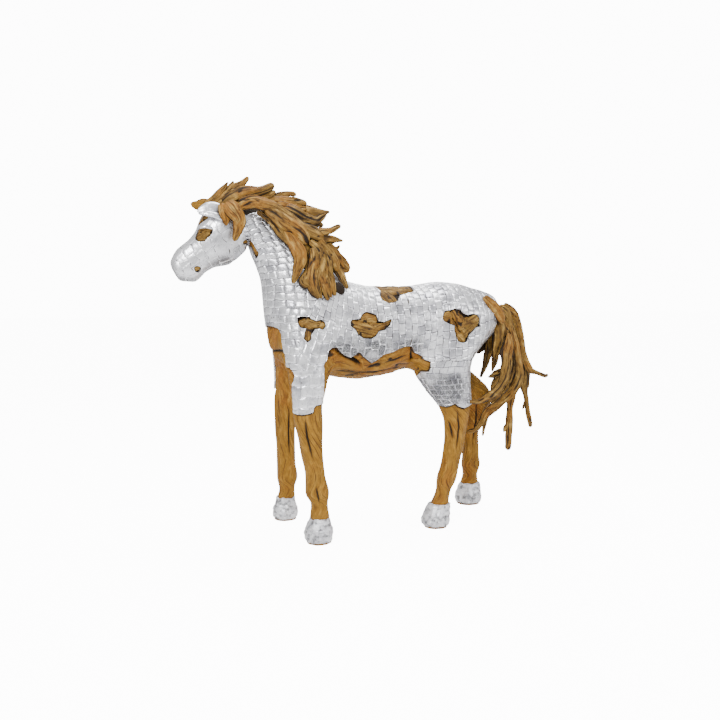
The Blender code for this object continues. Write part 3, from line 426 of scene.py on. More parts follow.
@dataclass
class HorseForm:
    """The smooth figure: a trunk through ribs and four leg columns, softly joined."""

    ribs: Table = RIBS
    legs: tuple[tuple[Table, Side], ...] = (
        (NEAR_FORE, Side.NEAR), (FAR_FORE, Side.FAR), (NEAR_HIND, Side.NEAR), (FAR_HIND, Side.FAR),
    )
    blend: float = BLEND
    squareness: float = LEG_SQUARENESS
    plane_count: int = 161

    def __post_init__(self) -> None:
        """Works out the planes on which every point finds its own rib."""
        self.last = len(self.ribs) - 1.0
        self.places = np.linspace(0, self.last, self.plane_count)
        self.centres, self.crests, self.halves, _, _ = self.rib(self.places)
        normals = np.column_stack([-self.crests[:, 1], self.crests[:, 0]])
        forward = np.gradient(self.centres, axis=0)
        self.normals = normals * np.sign((normals * forward).sum(1))[:, None]

    def rib(self, place: Array) -> Arrays:
        """Ribs read between the rows of the table.

        Args:
            place: Fractional numbers of ribs.

        Returns:
            Centre, crest direction, half height, half width and squareness of each.
        """
        row = monotone(np.column_stack([np.arange(len(self.ribs)), self.ribs]), place)
        crest, keel = row[:, 0:2], row[:, 2:4]
        half = np.linalg.norm(crest - keel, axis=1) / 2
        return (crest + keel) / 2, (crest - keel) / (2 * half[:, None]), half, row[:, 4], row[:, 5]

    @staticmethod
    def section(up: Array, across: Array, height: Array, width: Array, square: Array) -> Array:
        """How far a point is outside a rounded section: the root of summed powers, less one."""
        power = np.abs(up / height) ** square + np.abs(across / width) ** square
        return (power ** (1 / square) - 1) * np.minimum(height, width)

    def trunk(self, points: Array) -> Array:
        """Distance outside the trunk, neck and head, in the rib plane of each point.

        A point's rib lies where it passes from before to behind two neighbouring planes,
        the nearest such pair. Past either end the distance grows with that to the end.

        Args:
            points: Rows of x, y, z, in hands.

        Returns:
            One distance a point, negative inside.
        """
        flat = points[:, [0, 2]]
        past = flat @ self.normals.T - (self.centres * self.normals).sum(1)
        crosses = (past[:, :-1] >= 0) & (past[:, 1:] < 0)
        dx = flat[:, :1] - self.centres[None, :-1, 0]
        dz = flat[:, 1:] - self.centres[None, :-1, 1]
        reach = (dx * dx + dz * dz) / self.halves[:-1] ** 2
        k = np.where(crosses, reach, np.inf).argmin(axis=1)
        rows = np.arange(len(points))
        inside = crosses[rows, k]
        share = np.where(inside, past[rows, k] / (past[rows, k] - past[rows, k + 1] + 1e-12), 0)
        behind = past[:, 0] < 0
        place = np.where(
            inside, self.places[k] + self.places[1] * share, np.where(behind, 0, self.last)
        )
        ahead = np.maximum(past[:, -1], 0)
        beyond = np.where(inside, 0.0, np.where(behind, -past[:, 0], ahead))
        centre, crest, height, width, square = self.rib(place)
        up = ((flat - centre) * crest).sum(axis=1)
        outside = self.section(up, points[:, 1], height, width, square)
        return np.where(beyond > 0, np.hypot(np.maximum(outside, 0), beyond), outside)

    def leg(self, points: Array, rows: Table, side: Side) -> Array:
        """Distance outside one leg, measured in its level section.

        Args:
            points: Rows of x, y, z, in hands.
            rows: The leg's table.
            side: Its side of the horse.

        Returns:
            One distance a point, negative inside.
        """
        level = np.clip(points[:, 2], rows[0][0], rows[-1][0])
        front, rear, across, half_width = monotone(rows, level).T
        outside = self.section(
            points[:, 0] - (front + rear) / 2, points[:, 1] - side.value * across,
            (rear - front) / 2, half_width, self.squareness,
        )
        beyond = np.abs(points[:, 2] - level)
        return np.where(beyond > 0, np.hypot(np.maximum(outside, 0), beyond), outside)

    def distance(self, points: Array) -> Array:
        """Distance outside the figure: the least of its parts, rounded off where they meet.

        Args:
            points: Rows of x, y, z, in hands.

        Returns:
            One distance a point, negative inside.
        """
        distance = self.trunk(points)
        for rows, side in self.legs:
            leg = self.leg(points, rows, side)
            share = np.clip(0.5 + 0.5 * (leg - distance) / self.blend, 0, 1)
            distance = leg * (1 - share) + distance * share - self.blend * share * (1 - share)
        return distance

    def cast(self, starts: Array, ways: Array, reach: Array, most: Array, rounds: int = 24) -> Array:
        """Where rays leave the form: each steps on by nine tenths of its distance inside.

        Args:
            starts: Where the rays start, inside the form.
            ways: Their directions, of length one.
            reach: A first guess of how far each goes.
            most: As far as each may go.
            rounds: How many steps are taken.

        Returns:
            The places reached, in hands.
        """
        start, way, limit = starts.reshape(-1, 3), ways.reshape(-1, 3), most.ravel()
        far = np.minimum(reach.ravel(), limit)
        for _ in range(rounds):
            value = self.distance(start + way * far[:, None])
            far = np.minimum(far + np.clip(-0.9 * value, -0.12, 0.3), limit)
        return (start + way * far[:, None]).reshape(ways.shape)


def weights(share: Array) -> tuple[Array, Array]:
    """What four points in a row count for between the middle two, and how that changes.

    Args:
        share: How far on from the second point to the third.

    Returns:
        The four weights, and their slopes.
    """
    s, s2, s3 = share, share**2, share**3
    value = np.stack([-s + 2 * s2 - s3, 2 - 5 * s2 + 3 * s3, s + 4 * s2 - 3 * s3, s3 - s2])
    slope = np.stack([-1 + 4 * s - 3 * s2, -10 * s + 9 * s2, 1 + 8 * s - 9 * s2, 3 * s2 - 2 * s])
    return value / 2, slope / 2


@dataclass
class Skin:
    """A tube of places on the form, read smoothly between its rows and columns.

    Attributes:
        points: Rows along the tube by columns round it, in hands.
    """

    points: Array

    def __post_init__(self) -> None:
        """Keeps the counts of rows and columns at hand."""
        self.rows, self.columns = self.points.shape[:2]

    @classmethod
    def of_trunk(cls, form: HorseForm, rows: int = 136, columns: int = 72, floor: float = 0.35) -> "Skin":
        """The trunk, neck and head: rays in each rib plane, angle 0 at the crest.

        Args:
            form: The figure.
            rows: Rows from the tail to the lips.
            columns: Columns round it.
            floor: How far under the keel a ray may run down into a leg, in hands.

        Returns:
            The tube.
        """
        turn = np.linspace(0, 2 * np.pi, columns, endpoint=False)
        centre, crest, height, width, square = form.rib(np.linspace(0, form.last, rows))
        up, across = height[:, None] * np.cos(turn), width[:, None] * np.sin(turn)
        length = np.hypot(up, across)
        ways = np.stack([crest[:, :1] * up, across, crest[:, 1:] * up], axis=2) / length[..., None]
        reach = length * squared_off(turn, square[:, None])
        keel = centre[:, 1] - crest[:, 1] * height
        fall = np.maximum(-ways[..., 2], 1e-6)
        most = np.minimum((centre[:, 1:] - keel[:, None] + floor) / fall, reach * 1.8 + 0.4)
        starts = np.stack([centre[:, 0], 0 * keel, centre[:, 1]], axis=1)
        return cls(form.cast(np.repeat(starts[:, None], columns, axis=1), ways, reach, most))

    @classmethod
    def of_leg(
        cls, form: HorseForm, leg: Table, side: Side, spare: float, top: float = 10.6,
        rows: int = 64, columns: int = 32,
    ) -> "Skin":
        """One leg: level rays from its middle, angle 0 at the rear, from the sole up.

        Args:
            form: The figure.
            leg: The leg's rows.
            side: Its side of the horse.
            spare: How far past its own section a ray may run, in hands.
            top: Where it ends inside the trunk, in hands.
            rows: Rows up the leg.
            columns: Columns round it.

        Returns:
            The tube.
        """
        level = np.linspace(0.0, top, rows)
        turn = np.linspace(0, 2 * np.pi, columns, endpoint=False)
        front, rear, across, half_width = monotone(leg, level).T[:, :, None]
        along, aside = (rear - front) / 2 * np.cos(turn), half_width * np.sin(turn)
        length = np.hypot(along, aside)
        ways = np.stack([along, aside, 0 * along], axis=2) / length[..., None]
        reach = length * squared_off(turn, form.squareness)
        middle = ((front + rear) / 2 + 0 * turn, side.value * across + 0 * turn, level[:, None] + 0 * turn)
        return cls(form.cast(np.stack(middle, axis=2), ways, reach, reach + spare))

    @classmethod
    def of_neck(cls, form: HorseForm, rows: int = 80, columns: int = 80) -> "Skin":
        """The neck and chest: rays in planes that are level low down and tip up at the poll.

        Args:
            form: The figure.
            rows: Rows from the chest to the poll.
            columns: Columns round it, angle 0 at the rear.

        Returns:
            The tube.
        """
        x, z, tip = monotone(NECK_PLANES, np.linspace(0, len(NECK_PLANES) - 1, rows)).T[:, :, None]
        turn = np.linspace(0, 2 * np.pi, columns, endpoint=False)
        tip = np.radians(tip)
        length = np.hypot(2 * np.cos(turn), np.sin(turn))
        ahead, aside = 2 * np.cos(turn) / length, np.sin(turn) / length
        ways = np.stack([np.cos(tip) * ahead, 0 * tip + aside, np.sin(tip) * ahead], axis=2)
        starts = np.stack([x + 0 * turn, 0 * x + 0 * turn, z + 0 * turn], axis=2)
        start = np.full((rows, columns), 0.3)
        return cls(form.cast(starts, ways, start, start + 3.4, 30))

    def read(self, along: Array, around: Array) -> tuple[Array, Array]:
        """Places and outward directions at fractional rows and columns.

        Both ways the four nearest points are weighted as on a curve through them. The
        outward direction is the slope round the tube crossed with the slope along it.

        Args:
            along: Fractional rows.
            around: Fractional columns, which run on round the tube.

        Returns:
            The places in hands, and the outward directions, of length one.
        """
        shape = along.shape
        along = np.clip(along.ravel(), 0, self.rows - 1.0)
        around = around.ravel() % self.columns
        i, j = np.minimum(along.astype(int), self.rows - 2), around.astype(int)
        rise, turn = weights(along - i), weights(around - j)
        place, up, round_it = (np.zeros((along.size, 3)) for _ in range(3))
        for p in range(4):
            row = np.clip(i + p - 1, 0, self.rows - 1)
            line, slope = np.zeros((along.size, 3)), np.zeros((along.size, 3))
            for q in range(4):
                point = self.points[row, (j + q - 1) % self.columns]
                line += turn[0][q][:, None] * point
                slope += turn[1][q][:, None] * point
            place += rise[0][p][:, None] * line
            up += rise[1][p][:, None] * line
            round_it += rise[0][p][:, None] * slope
        out = np.cross(round_it, up)
        out /= np.maximum(np.linalg.norm(out, axis=1), 1e-9)[:, None]
        return place.reshape(*shape, 3), out.reshape(*shape, 3)

    def steps(self, along: Array, around: Array) -> list[Array]:
        """How long one row and one column are at places on the tube, in metres.

        Args:
            along: Fractional rows.
            around: Fractional columns.

        Returns:
            The length of a row and that of a column, one each a place.
        """
        here, part = self.read(along, around)[0], 0.25
        beside = self.read(along + part, around)[0], self.read(along, around + part)[0]
        return [np.maximum(np.linalg.norm(b - here, axis=-1) / part * HAND, 1e-4) for b in beside]

    def survey(self, rows: int = 700, columns: int = 420) -> Arrays:
        """A close survey of the tube.

        Args:
            rows: How many rows are read.
            columns: How many columns.

        Returns:
            Rows, columns and places, as flat arrays.
        """
        turn = np.linspace(0, self.columns, columns, endpoint=False)
        along, around = np.meshgrid(np.linspace(0, self.rows - 1.0, rows), turn, indexing="ij")
        return along.ravel(), around.ravel(), self.read(along, around)[0].reshape(-1, 3)


@dataclass(frozen=True)
class Opening:
    """A place where the metal is left off, drawn in a flat view and cut on one side.

    Attributes:
        outline: Its corners in the flat view, in hands.
        flat: The two axes of the view.
        axis: The axis across the view.
        limit: Where along that axis the opening begins, in hands.
        above: Whether it is above the limit or below it.
    """

    outline: Table
    flat: Flat = Flat.SIDE
    axis: int = 1
    limit: float = -0.15
    above: bool = False

    def distance(self, points: Array) -> Array:
        """How far points lie outside the opening: the greater of both tests.

        Args:
            points: Places in hands.

        Returns:
            One distance a place, in hands.
        """
        across = points[..., self.axis] - self.limit
        aside = outline_distance(points[..., self.flat.value], self.outline)
        return np.maximum(aside, -across if self.above else across)


NEAR_PATCHES = tuple(Opening(outline) for outline in (SHOULDER, BARREL, HAUNCH))
FACE_PATCHES = tuple(Opening(outline) for outline in (EYE, THROAT, MOUTH, FOREHEAD))
FAR_PATCHES = tuple(
    Opening(outline, limit=0.15, above=True)
    for outline in (FAR_SHOULDER, FAR_BARREL, FAR_HAUNCH, FAR_EYE)
)
BACK_OPENING = Opening(BACK, Flat.TOP, 2, 12.5, True)
BETWEEN_LEGS = ((-9.0, -2.0), (11.0, -2.0), (11.0, 10.45), (-9.0, 10.45))


@dataclass
class Openings:
    """Every place where the wood is bare."""

    patches: tuple[Opening, ...] = (*NEAR_PATCHES, *FACE_PATCHES, *FAR_PATCHES, BACK_OPENING)
    lower: tuple[Opening, ...] = (
        Opening(NEAR_HEM, limit=0.0), Opening(FAR_HEM, limit=0.0, above=True),
        Opening(CHEST, Flat.FRONT, 0, -4.95),
    )
    inside_half_width: float = 1.75

    def in_patches(self, points: Array) -> Array:
        """How far points lie outside the nearest bare patch, in hands."""
        return np.minimum.reduce([patch.distance(points) for patch in self.patches])

    def below(self, points: Array) -> Array:
        """How far points lie outside the bare belly, legs and chest.

        Args:
            points: Places in hands.

        Returns:
            One distance a place, in hands.
        """
        aside = np.abs(points[..., 1]) - self.inside_half_width
        inside = np.maximum(aside, outline_distance(points[..., (0, 2)], BETWEEN_LEGS))
        return np.minimum.reduce([*(hem.distance(points) for hem in self.lower), inside])

    def cover(self, points: Array) -> Array:
        """How far points lie under the metal, in hands, negative where the wood is bare."""
        return np.minimum(self.in_patches(points), self.below(points))


@dataclass
class Shape:
    """Points, faces and the values a finish reads, gathered from several surfaces."""

    points: list[Array] = field(default_factory=list)
    faces: list[Array] = field(default_factory=list)
    places: list[Array] = field(default_factory=list)
    values: dict[str, list[Array]] = field(default_factory=dict)
    count: int = 0

    def put(self, points: Array, values: Values) -> Array:
        """Adds points.

        Args:
            points: Places in metres.
            values: What the finish reads, one for each point or for all.

        Returns:
            The numbers of the points.
        """
        self.points.append(points.reshape(-1, 3))
        for name, value in values.items():
            self.values.setdefault(name, []).append(np.broadcast_to(value, points.shape[:-1]).ravel())
        self.count += points.size // 3
        return np.arange(self.count - points.size // 3, self.count).reshape(points.shape[:-1])

    def grid(
        self, points: Array, places: Array, values: Values, closed: bool = False, keep: Array | None = None
    ) -> Array:
        """Adds one or more grids of quads that face out: round crossed with along.

        Args:
            points: (grids,) rows, columns, 3, in metres.
            places: The same with 2 for the flat pattern, one column more if closed.
            values: What the finish reads, one for each point or for all.
            closed: Whether the last column joins the first.
            keep: Which quads are made, if not all.

        Returns:
            The numbers of the points.
        """
        if points.ndim == 3:
            points, places = points[None], places[None]
        index = self.put(points, values)
        quads = quad_corners(np.concatenate([index, index[:, :, :1]], axis=2) if closed else index)
        if keep is None:
            keep = np.ones(quads.shape[:3], bool)
        self.faces.append(quads[keep])
        self.places.append(quad_corners(places)[keep].reshape(-1, 2))
        return index

    def cap(self, ring: Array, middle: Array, values: dict[str, float], end: bool) -> None:
        """Closes a ring of points to one in the middle.

        Args:
            ring: The numbers of the ring's points.
            middle: The place of the new point, in metres.
            values: What the finish reads there.
            end: Whether it faces on, as at a tube's end, or back.
        """
        centre = np.full(len(ring), self.put(middle[None], values)[0])
        pair = (ring, np.roll(ring, -1)) if end else (np.roll(ring, -1), ring)
        self.faces.append(np.stack([centre, *pair], axis=1))
        self.places.append(np.zeros((3 * len(ring), 2)))

    def close_ends(self, index: Array, points: Array, values: dict[str, float]) -> None:
        """Closes both ends of a tube to the middle of its first and its last ring."""
        for row, end in ((0, False), (-1, True)):
            self.cap(index[row], points[row].mean(axis=0), values, end)

    def piece(self, name: str, finish: Material, sharp: float = 50) -> bpy.types.Object:
        """Makes the finished object, which rides on the one body.

        Args:
            name: What it is called.
            finish: Its material.
            sharp: The angle past which an edge stays sharp, in degrees.

        Returns:
            The object.
        """
        mesh = bpy.data.meshes.new(name)
        mesh.from_pydata(np.concatenate(self.points), [], [f for faces in self.faces for f in faces.tolist()])
        layer = mesh.uv_layers.new(name="grain")
        layer.data.foreach_set("uv", np.concatenate(self.places).astype(np.float32).ravel())
        for title, value in self.values.items():
            attribute = mesh.attributes.new(title, "FLOAT", "POINT")
            attribute.data.foreach_set("value", np.concatenate(value).astype(np.float32))
        mesh.materials.append(finish)
        mesh.shade_smooth()
        mesh.set_sharp_from_angle(angle=np.radians(sharp))
        made = add_object(name, mesh)
        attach(made, "root")
        LOG.info("%s: %d faces", name, len(mesh.polygons))
        return made


class Tract(Enum):
    """The parts of the horse whose plates are laid each in their own way."""

    BODY = 0
    NECK = 1
    HEAD = 2
    LEG = 3


@dataclass(frozen=True)
class Coursing:
    """How the plates are laid on one tube of the form.

    Attributes:
        sizes: Row, then the width of a course and the length of a plate there, in metres.
        start: The first row that is laid.
        end: The last row.
        bricks: How far each course is shifted against the last, in plates.
        seed: Which chance values are used.
        dullest: The least tone of a plate, 0 dull to 1 bright.
    """

    sizes: Table
    start: float
    end: float
    bricks: float = 0.5
    seed: int = 3
    dullest: float = 0.0


TRUNK_SIZES: Table = (
    (0, 0.042, 0.050), (30, 0.042, 0.054), (45, 0.040, 0.064), (60, 0.040, 0.066),
    (92, 0.060, 0.100), (108, 0.074, 0.120), (113, 0.056, 0.066), (135, 0.050, 0.058),
)
NECK_SIZES: Table = ((0, 0.046, 0.066), (44, 0.042, 0.060), (60, 0.034, 0.054), (80, 0.028, 0.048))
QUARTERS_COURSES = Coursing(TRUNK_SIZES, 0.2, 36.0, seed=3)
BARREL_COURSES = Coursing(TRUNK_SIZES, 36.0, 69.0, seed=39)
NECK_COURSES = Coursing(NECK_SIZES, 0.5, 78.5, seed=7)
# The head's plates are kept towards the bright colour, painted light that stands in for the light on the
# cheek
HEAD_COURSES = Coursing(TRUNK_SIZES, 84.0, 134.6, 0.37, 5, 0.65)
FORE_COURSES = Coursing(((0, 0.055, 0.060), (63, 0.060, 0.066)), 43.0, 61.6, seed=11)
HIND_COURSES = Coursing(((0, 0.032, 0.042), (46, 0.032, 0.042), (63, 0.040, 0.044)), 42.0, 63.0, seed=19)


@dataclass
class Cladding:
    """Hammered plates in courses over the wood, trimmed and turned down at the openings.

    Attributes:
        trunk: The tube of the trunk, neck and head.
        neck: The tube of the neck and chest.
        legs: The four leg tubes.
        openings: Where the wood stays bare.
        top: How high a plate stands over the form, in metres.
        foot: How low its sides go, in metres.
        gap: Half the joint between two plates, in metres.
        slope: How wide the turned-down side of a plate is, in metres.
        rim: How low the cut edge at an opening goes, in metres.
        crown: How much higher the middle of a plate is than its sides, in metres.
        dent: How deep a plate is dented, in metres.
        waver: How far a course's edge wavers, as a share of the course.
        lip: How much a cut plate swells along its opening, in metres.
        lip_width: How far that swelling goes, in metres.
        dirt: How wide the dirt along a joint is, in metres.
        tilt: How much a plate tips either way at most, in metres.
        joints: How plain the joints are on the body, the neck, the head and the legs.
        pillowed: How much of their dip they keep there.
        shares: Where a whole plate's points lie along each side.
        fine: How many points a cut plate has along each side.
        probe: How far off the slope of the cover is felt for, in metres.
        head_starts: The x in front of which the plates are the head's, in hands.
        fore_level: Up to where the foreleg's plates go, in hands.
        hind_level: Up to where the hind leg's go.
    """

    trunk: Skin
    neck: Skin
    legs: tuple[Skin, ...]
    openings: Openings
    top: float = 0.0052
    foot: float = -0.0008
    gap: float = 0.0004
    slope: float = 0.0018
    rim: float = -0.0045
    crown: float = 0.0006
    dent: float = 0.0006
    waver: float = 0.07
    lip: float = 0.0006
    lip_width: float = 0.006
    dirt: float = 0.0020
    tilt: float = 0.0006
    joints: tuple[float, ...] = (1.0, 0.9, 0.85, 1.0)
    pillowed: tuple[float, ...] = (1.0, 0.6, 0.1, 1.0)
    shares: tuple[float, ...] = (0.0, 0.07, 0.28, 0.5, 0.72, 0.93, 1.0)
    fine: int = 13
    probe: float = 0.0015
    head_starts: float = -5.9
    fore_level: float = 10.0
    hind_level: float = 10.4

    def lay(self, skin: Skin, coursing: Coursing) -> Values:
        """The corners of every plate on a tube, in rows and columns, and its chance values.

        Courses are spaced so that each is as wide as its size says along the middle of the
        -y side. Each is divided into plates of about the length that its size says.

        Args:
            skin: The tube.
            coursing: How it is laid.

        Returns:
            One value a plate for each corner and each chance value, on three axes.
        """
        chance = np.random.default_rng(coursing.seed)
        fine = np.linspace(coursing.start, coursing.end, 1200)
        flank = skin.read(fine, np.full_like(fine, skin.columns * 0.73))[0]
        spans = np.linalg.norm(np.diff(flank, axis=0), axis=1) * HAND
        widths, lengths = monotone(coursing.sizes, fine).T
        laid = summed(spans / (widths[1:] + widths[:-1]) * 2)
        count = max(int(round(laid[-1])), 1)
        edges = np.interp(np.linspace(0, laid[-1], count + 1), laid, fine)
        phases = chance.uniform(0, 2 * np.pi, (count + 1, 2))
        turn = np.linspace(0, skin.columns, 97)
        courses: list[Array] = []
        for k in range(count):
            at = (edges[k] + edges[k + 1]) / 2
            girth = run_along(skin.read(np.full_like(turn, at), turn)[0]) * HAND
            plates = max(int(round(girth[-1] / np.interp(at, fine, lengths))), 4)
            shift = coursing.bricks * (k % 2) + chance.uniform(-0.14, 0.14, plates)
            cuts = (np.arange(plates) + shift) / plates
            cuts = np.append(cuts, cuts[0] + 1)
            cuts = np.interp(cuts % 1 * girth[-1], girth, turn) + skin.columns * np.floor(cuts)
            lean = chance.uniform(-0.10, 0.10, plates)
            lean = np.append(lean, lean[0])
            same = np.tile([edges[k], edges[k + 1], *phases[k], *phases[k + 1]], (plates, 1))
            courses.append(np.column_stack([same, cuts[:-1], cuts[1:], lean[:-1], lean[1:]]))
        laid = np.concatenate(courses)
        keys = ("row0", "row1", "a0", "b0", "a1", "b1", "col0", "col1", "lean0", "lean1")
        plates = dict(zip(keys, laid.T))
        plates["tone"] = coursing.dullest + (1 - coursing.dullest) * chance.uniform(0, 1, len(laid))
        plates["tilt_along"] = chance.uniform(-self.tilt, self.tilt, len(laid))
        plates["tilt_round"] = chance.uniform(-self.tilt, self.tilt, len(laid))
        plates["lift"] = chance.uniform(-0.0004, 0.0004, len(laid))
        plates["spot"] = chance.uniform(0, 40, len(laid))
        plates = {key: item[:, None, None] for key, item in plates.items()}
        middle = (plates["row0"] + plates["row1"]) / 2, (plates["col0"] + plates["col1"]) / 2
        row_length, column_length = skin.steps(*middle)
        plates["wide"] = (plates["row1"] - plates["row0"]) * row_length
        plates["long"] = (plates["col1"] - plates["col0"]) * column_length
        return plates

    def sample(self, plates: Values, skin: Skin, shares: Array, tract: Tract) -> Arrays:
        """The grids of plates, a joint's half width in from their corners.

        Both long edges of a course waver by two sines of the column, and the short edges
        lean by a share of the plate's length.

        Args:
            plates: What lay gives.
            skin: The tube.
            shares: Where the points lie along each side.
            tract: Which part of the horse.

        Returns:
            Rows, columns, places, outward directions and cover, plates by grid.
        """
        s, t = np.meshgrid(shares, shares, indexing="ij")
        inset_s, inset_t = self.gap / plates["wide"], self.gap / plates["long"]
        s, t = inset_s + (1 - 2 * inset_s) * s, inset_t + (1 - 2 * inset_t) * t
        length = plates["col1"] - plates["col0"]
        lean = plates["lean0"] * (1 - t) + plates["lean1"] * t
        around = plates["col0"] + length * t + length * (s - 0.5) * lean
        first, last = (
            plates[f"row{k}"] + self.waver * (plates["row1"] - plates["row0"]) * (
                np.sin(around * 1.7 + plates[f"a{k}"]) + np.sin(around * 0.6 + plates[f"b{k}"])
            )
            for k in (0, 1)
        )
        along = first + (last - first) * s
        points, out = skin.read(along, around)
        return along, around, points, out, self.cover(points, tract)

    def plain(self, points: Array, tract: Tract) -> Array:
        """How strongly joints show: hardly on the cheek and behind the thigh.

        Args:
            points: Places in hands.
            tract: Which part of the horse.

        Returns:
            0 to 1 a place.
        """
        x, z = points[..., 0], points[..., 2]
        cheek = smooth_step(x, -9.4, -8.8) * smooth_step(z, 15.9, 16.5)
        behind_thigh = smooth_step(x, 5.3, 6.1) * smooth_step(-z, -12.0, -10.8)
        flank = 0.8 * smooth_step(-x, 1.6, 3.0) * smooth_step(-z, -13.2, -12.0)
        body = np.maximum(behind_thigh, flank)
        smooth = {Tract.HEAD: cheek, Tract.NECK: 0 * x}.get(tract, body)
        return self.joints[tract.value] * (1 - 0.75 * smooth)

    def weather(self, points: Array, out: Array, edge: Array, tract: Tract) -> Values:
        """How strongly joints show, how much shade is painted on the metal, and how pitted it is.

        Shade is painted where the metal faces down, on the lower belly and low on the front of
        the thighs, as painted shade and painted reflection of dark surroundings; a random cloud
        varies it, and off the head it also adds dark patches. Pits are on the chest, the
        shoulder, the lower neck and the jaw.

        Args:
            points: Places in hands.
            out: Outward directions there.
            edge: How far each place is from its plate's edge, in metres.
            tract: Which part of the horse.

        Returns:
            The values seam, shade and pits, 0 to 1 a place.
        """
        x, z, down = points[..., 0], points[..., 2], -out[..., 2]
        middle = smooth_step(x, -3.6, -2.6) * smooth_step(-x, -3.2, -2.2)
        belly = middle * smooth_step(-z, -12.2, -11.3)
        thigh = smooth_step(-z, -9.8, -9.1) * smooth_step(x, 1.8, 2.4) * smooth_step(-x, -5.6, -4.6)
        cloud = layered_noise(points * 1.6, 23, 2)
        # Painted shade and painted reflection: facing down, on the lower belly, low on the front of the
        # thighs
        shade = np.maximum.reduce([0.8 * smooth_step(down, 0.2, 0.9), 0.95 * belly, 1.3 * thigh])
        shade = shade * (1 + 0.6 * cloud)
        if tract is Tract.HEAD:
            pits = smooth_step(-z, -16.8, -16.0) * smooth_step(x, -11.0, -10.0)
            # Painted shade under the jaw, where the metal faces down
            shade = np.maximum(shade, 0.8 * smooth_step(down, -0.15, 0.6) * (0.6 + cloud))
        else:
            pits = smooth_step(-x, 2.6, 4.0) * smooth_step(-z, -16.6, -15.0)
            shade = shade + 0.35 * smooth_step(cloud, 0.2, 0.9)
        return {
            "seam": np.exp(-edge / self.dirt) * self.plain(points, tract),
            "shade": np.clip(shade, 0, 1), "pits": pits * np.clip(0.8 + 0.7 * cloud, 0, 1),
        }

    def cover(self, points: Array, tract: Tract) -> Array:
        """How far points lie within the metal of one tract, in hands.

        The legs' plates end at a level that is lower in front than behind. The neck's
        lie within their own outline in the side view, and those of the body and the head
        outside it.

        Args:
            points: Places in hands.
            tract: Which part of the horse.

        Returns:
            One distance a place.
        """
        above = points[..., 2] - np.where(points[..., 0] < 0, self.fore_level, self.hind_level)
        if tract is Tract.LEG:
            return np.minimum(self.openings.cover(points), -above)
        neck = -outline_distance(points[..., (0, 2)], NECK_TRACT)
        ahead = self.head_starts - points[..., 0]
        within = {
            Tract.NECK: (neck, above), Tract.BODY: (-neck, above, -ahead), Tract.HEAD: (-neck, ahead),
        }[tract]
        return np.minimum.reduce([self.openings.cover(points), *within])

    def plates_on(self, shape: Shape, skin: Skin, coursing: Coursing, tract: Tract) -> None:
        """Adds the plates of one tube.

        Whole plates are grids of a few dozen quads. Those that an opening crosses are
        made finer and trimmed to it.

        Args:
            shape: What the plates are added to.
            skin: The tube.
            coursing: How it is laid.
            tract: Which part of the horse it covers.
        """
        plates, shares = self.lay(skin, coursing), np.array(self.shares)
        _, _, points, out, cover = self.sample(plates, skin, shares, tract)
        whole = cover.min(axis=(1, 2)) > 0.03
        cut = ~whole & (cover.max(axis=(1, 2)) >= -0.02)
        chosen = {key: item[whole] for key, item in plates.items()}
        self.put_down(shape, chosen, shares, points[whole], out[whole], tract)
        self.cut_plates(shape, {key: item[cut] for key, item in plates.items()}, skin, tract)

    def put_down(
        self, shape: Shape, plates: Values, shares: Array, points: Array, out: Array, tract: Tract,
        least: Array | float = -1.0, swell: Array | float = 0.0, keep: Array | None = None,
    ) -> Array:
        """Adds plates as grids that stand over the form.

        The top is crowned by the product of two parabolas, tilted both ways and dented by
        noise, and it falls to the foot over the slope from the plate's own edge. Each
        plate has its own spot on the sheet, so that no two have the same marks.

        Args:
            shape: What they are added to.
            plates: What lay gives.
            shares: Where the points lie along each side.
            points: Their places in hands.
            out: Outward directions there.
            tract: Which part of the horse.
            least: The least height, in metres.
            swell: What is added to the height, in metres.
            keep: Which quads are made, if not all.

        Returns:
            The numbers of the points.
        """
        s, t = np.meshgrid(shares, shares, indexing="ij")
        wide, long, spot = plates["wide"], plates["long"], plates["spot"]
        edge = np.minimum(np.minimum(s, 1 - s) * wide, np.minimum(t, 1 - t) * long)
        u, v = 2 * s - 1, 2 * t - 1
        own = plates["lift"] + self.crown * (1 - u * u) * (1 - v * v)
        own = own + plates["tilt_along"] * u + plates["tilt_round"] * v
        plain = self.plain(points, tract) * self.pillowed[tract.value]
        top = self.top + own * (0.15 + 0.85 * plain) + self.dent * layered_noise(points * 4.5, 5, 2)
        foot = self.top + (self.foot - self.top) * (0.1 + 0.9 * plain)
        height = foot + (top - foot) * smooth_step(edge, 0.0, self.slope)
        height = np.maximum(height, least) + swell
        places = np.stack(np.broadcast_arrays(s * wide + spot, t * long + spot * 0.37), axis=3)
        values = {**self.weather(points, out, edge, tract), "tone": plates["tone"]}
        return shape.grid(to_metres(points) + out * height[..., None], places, values, keep=keep)

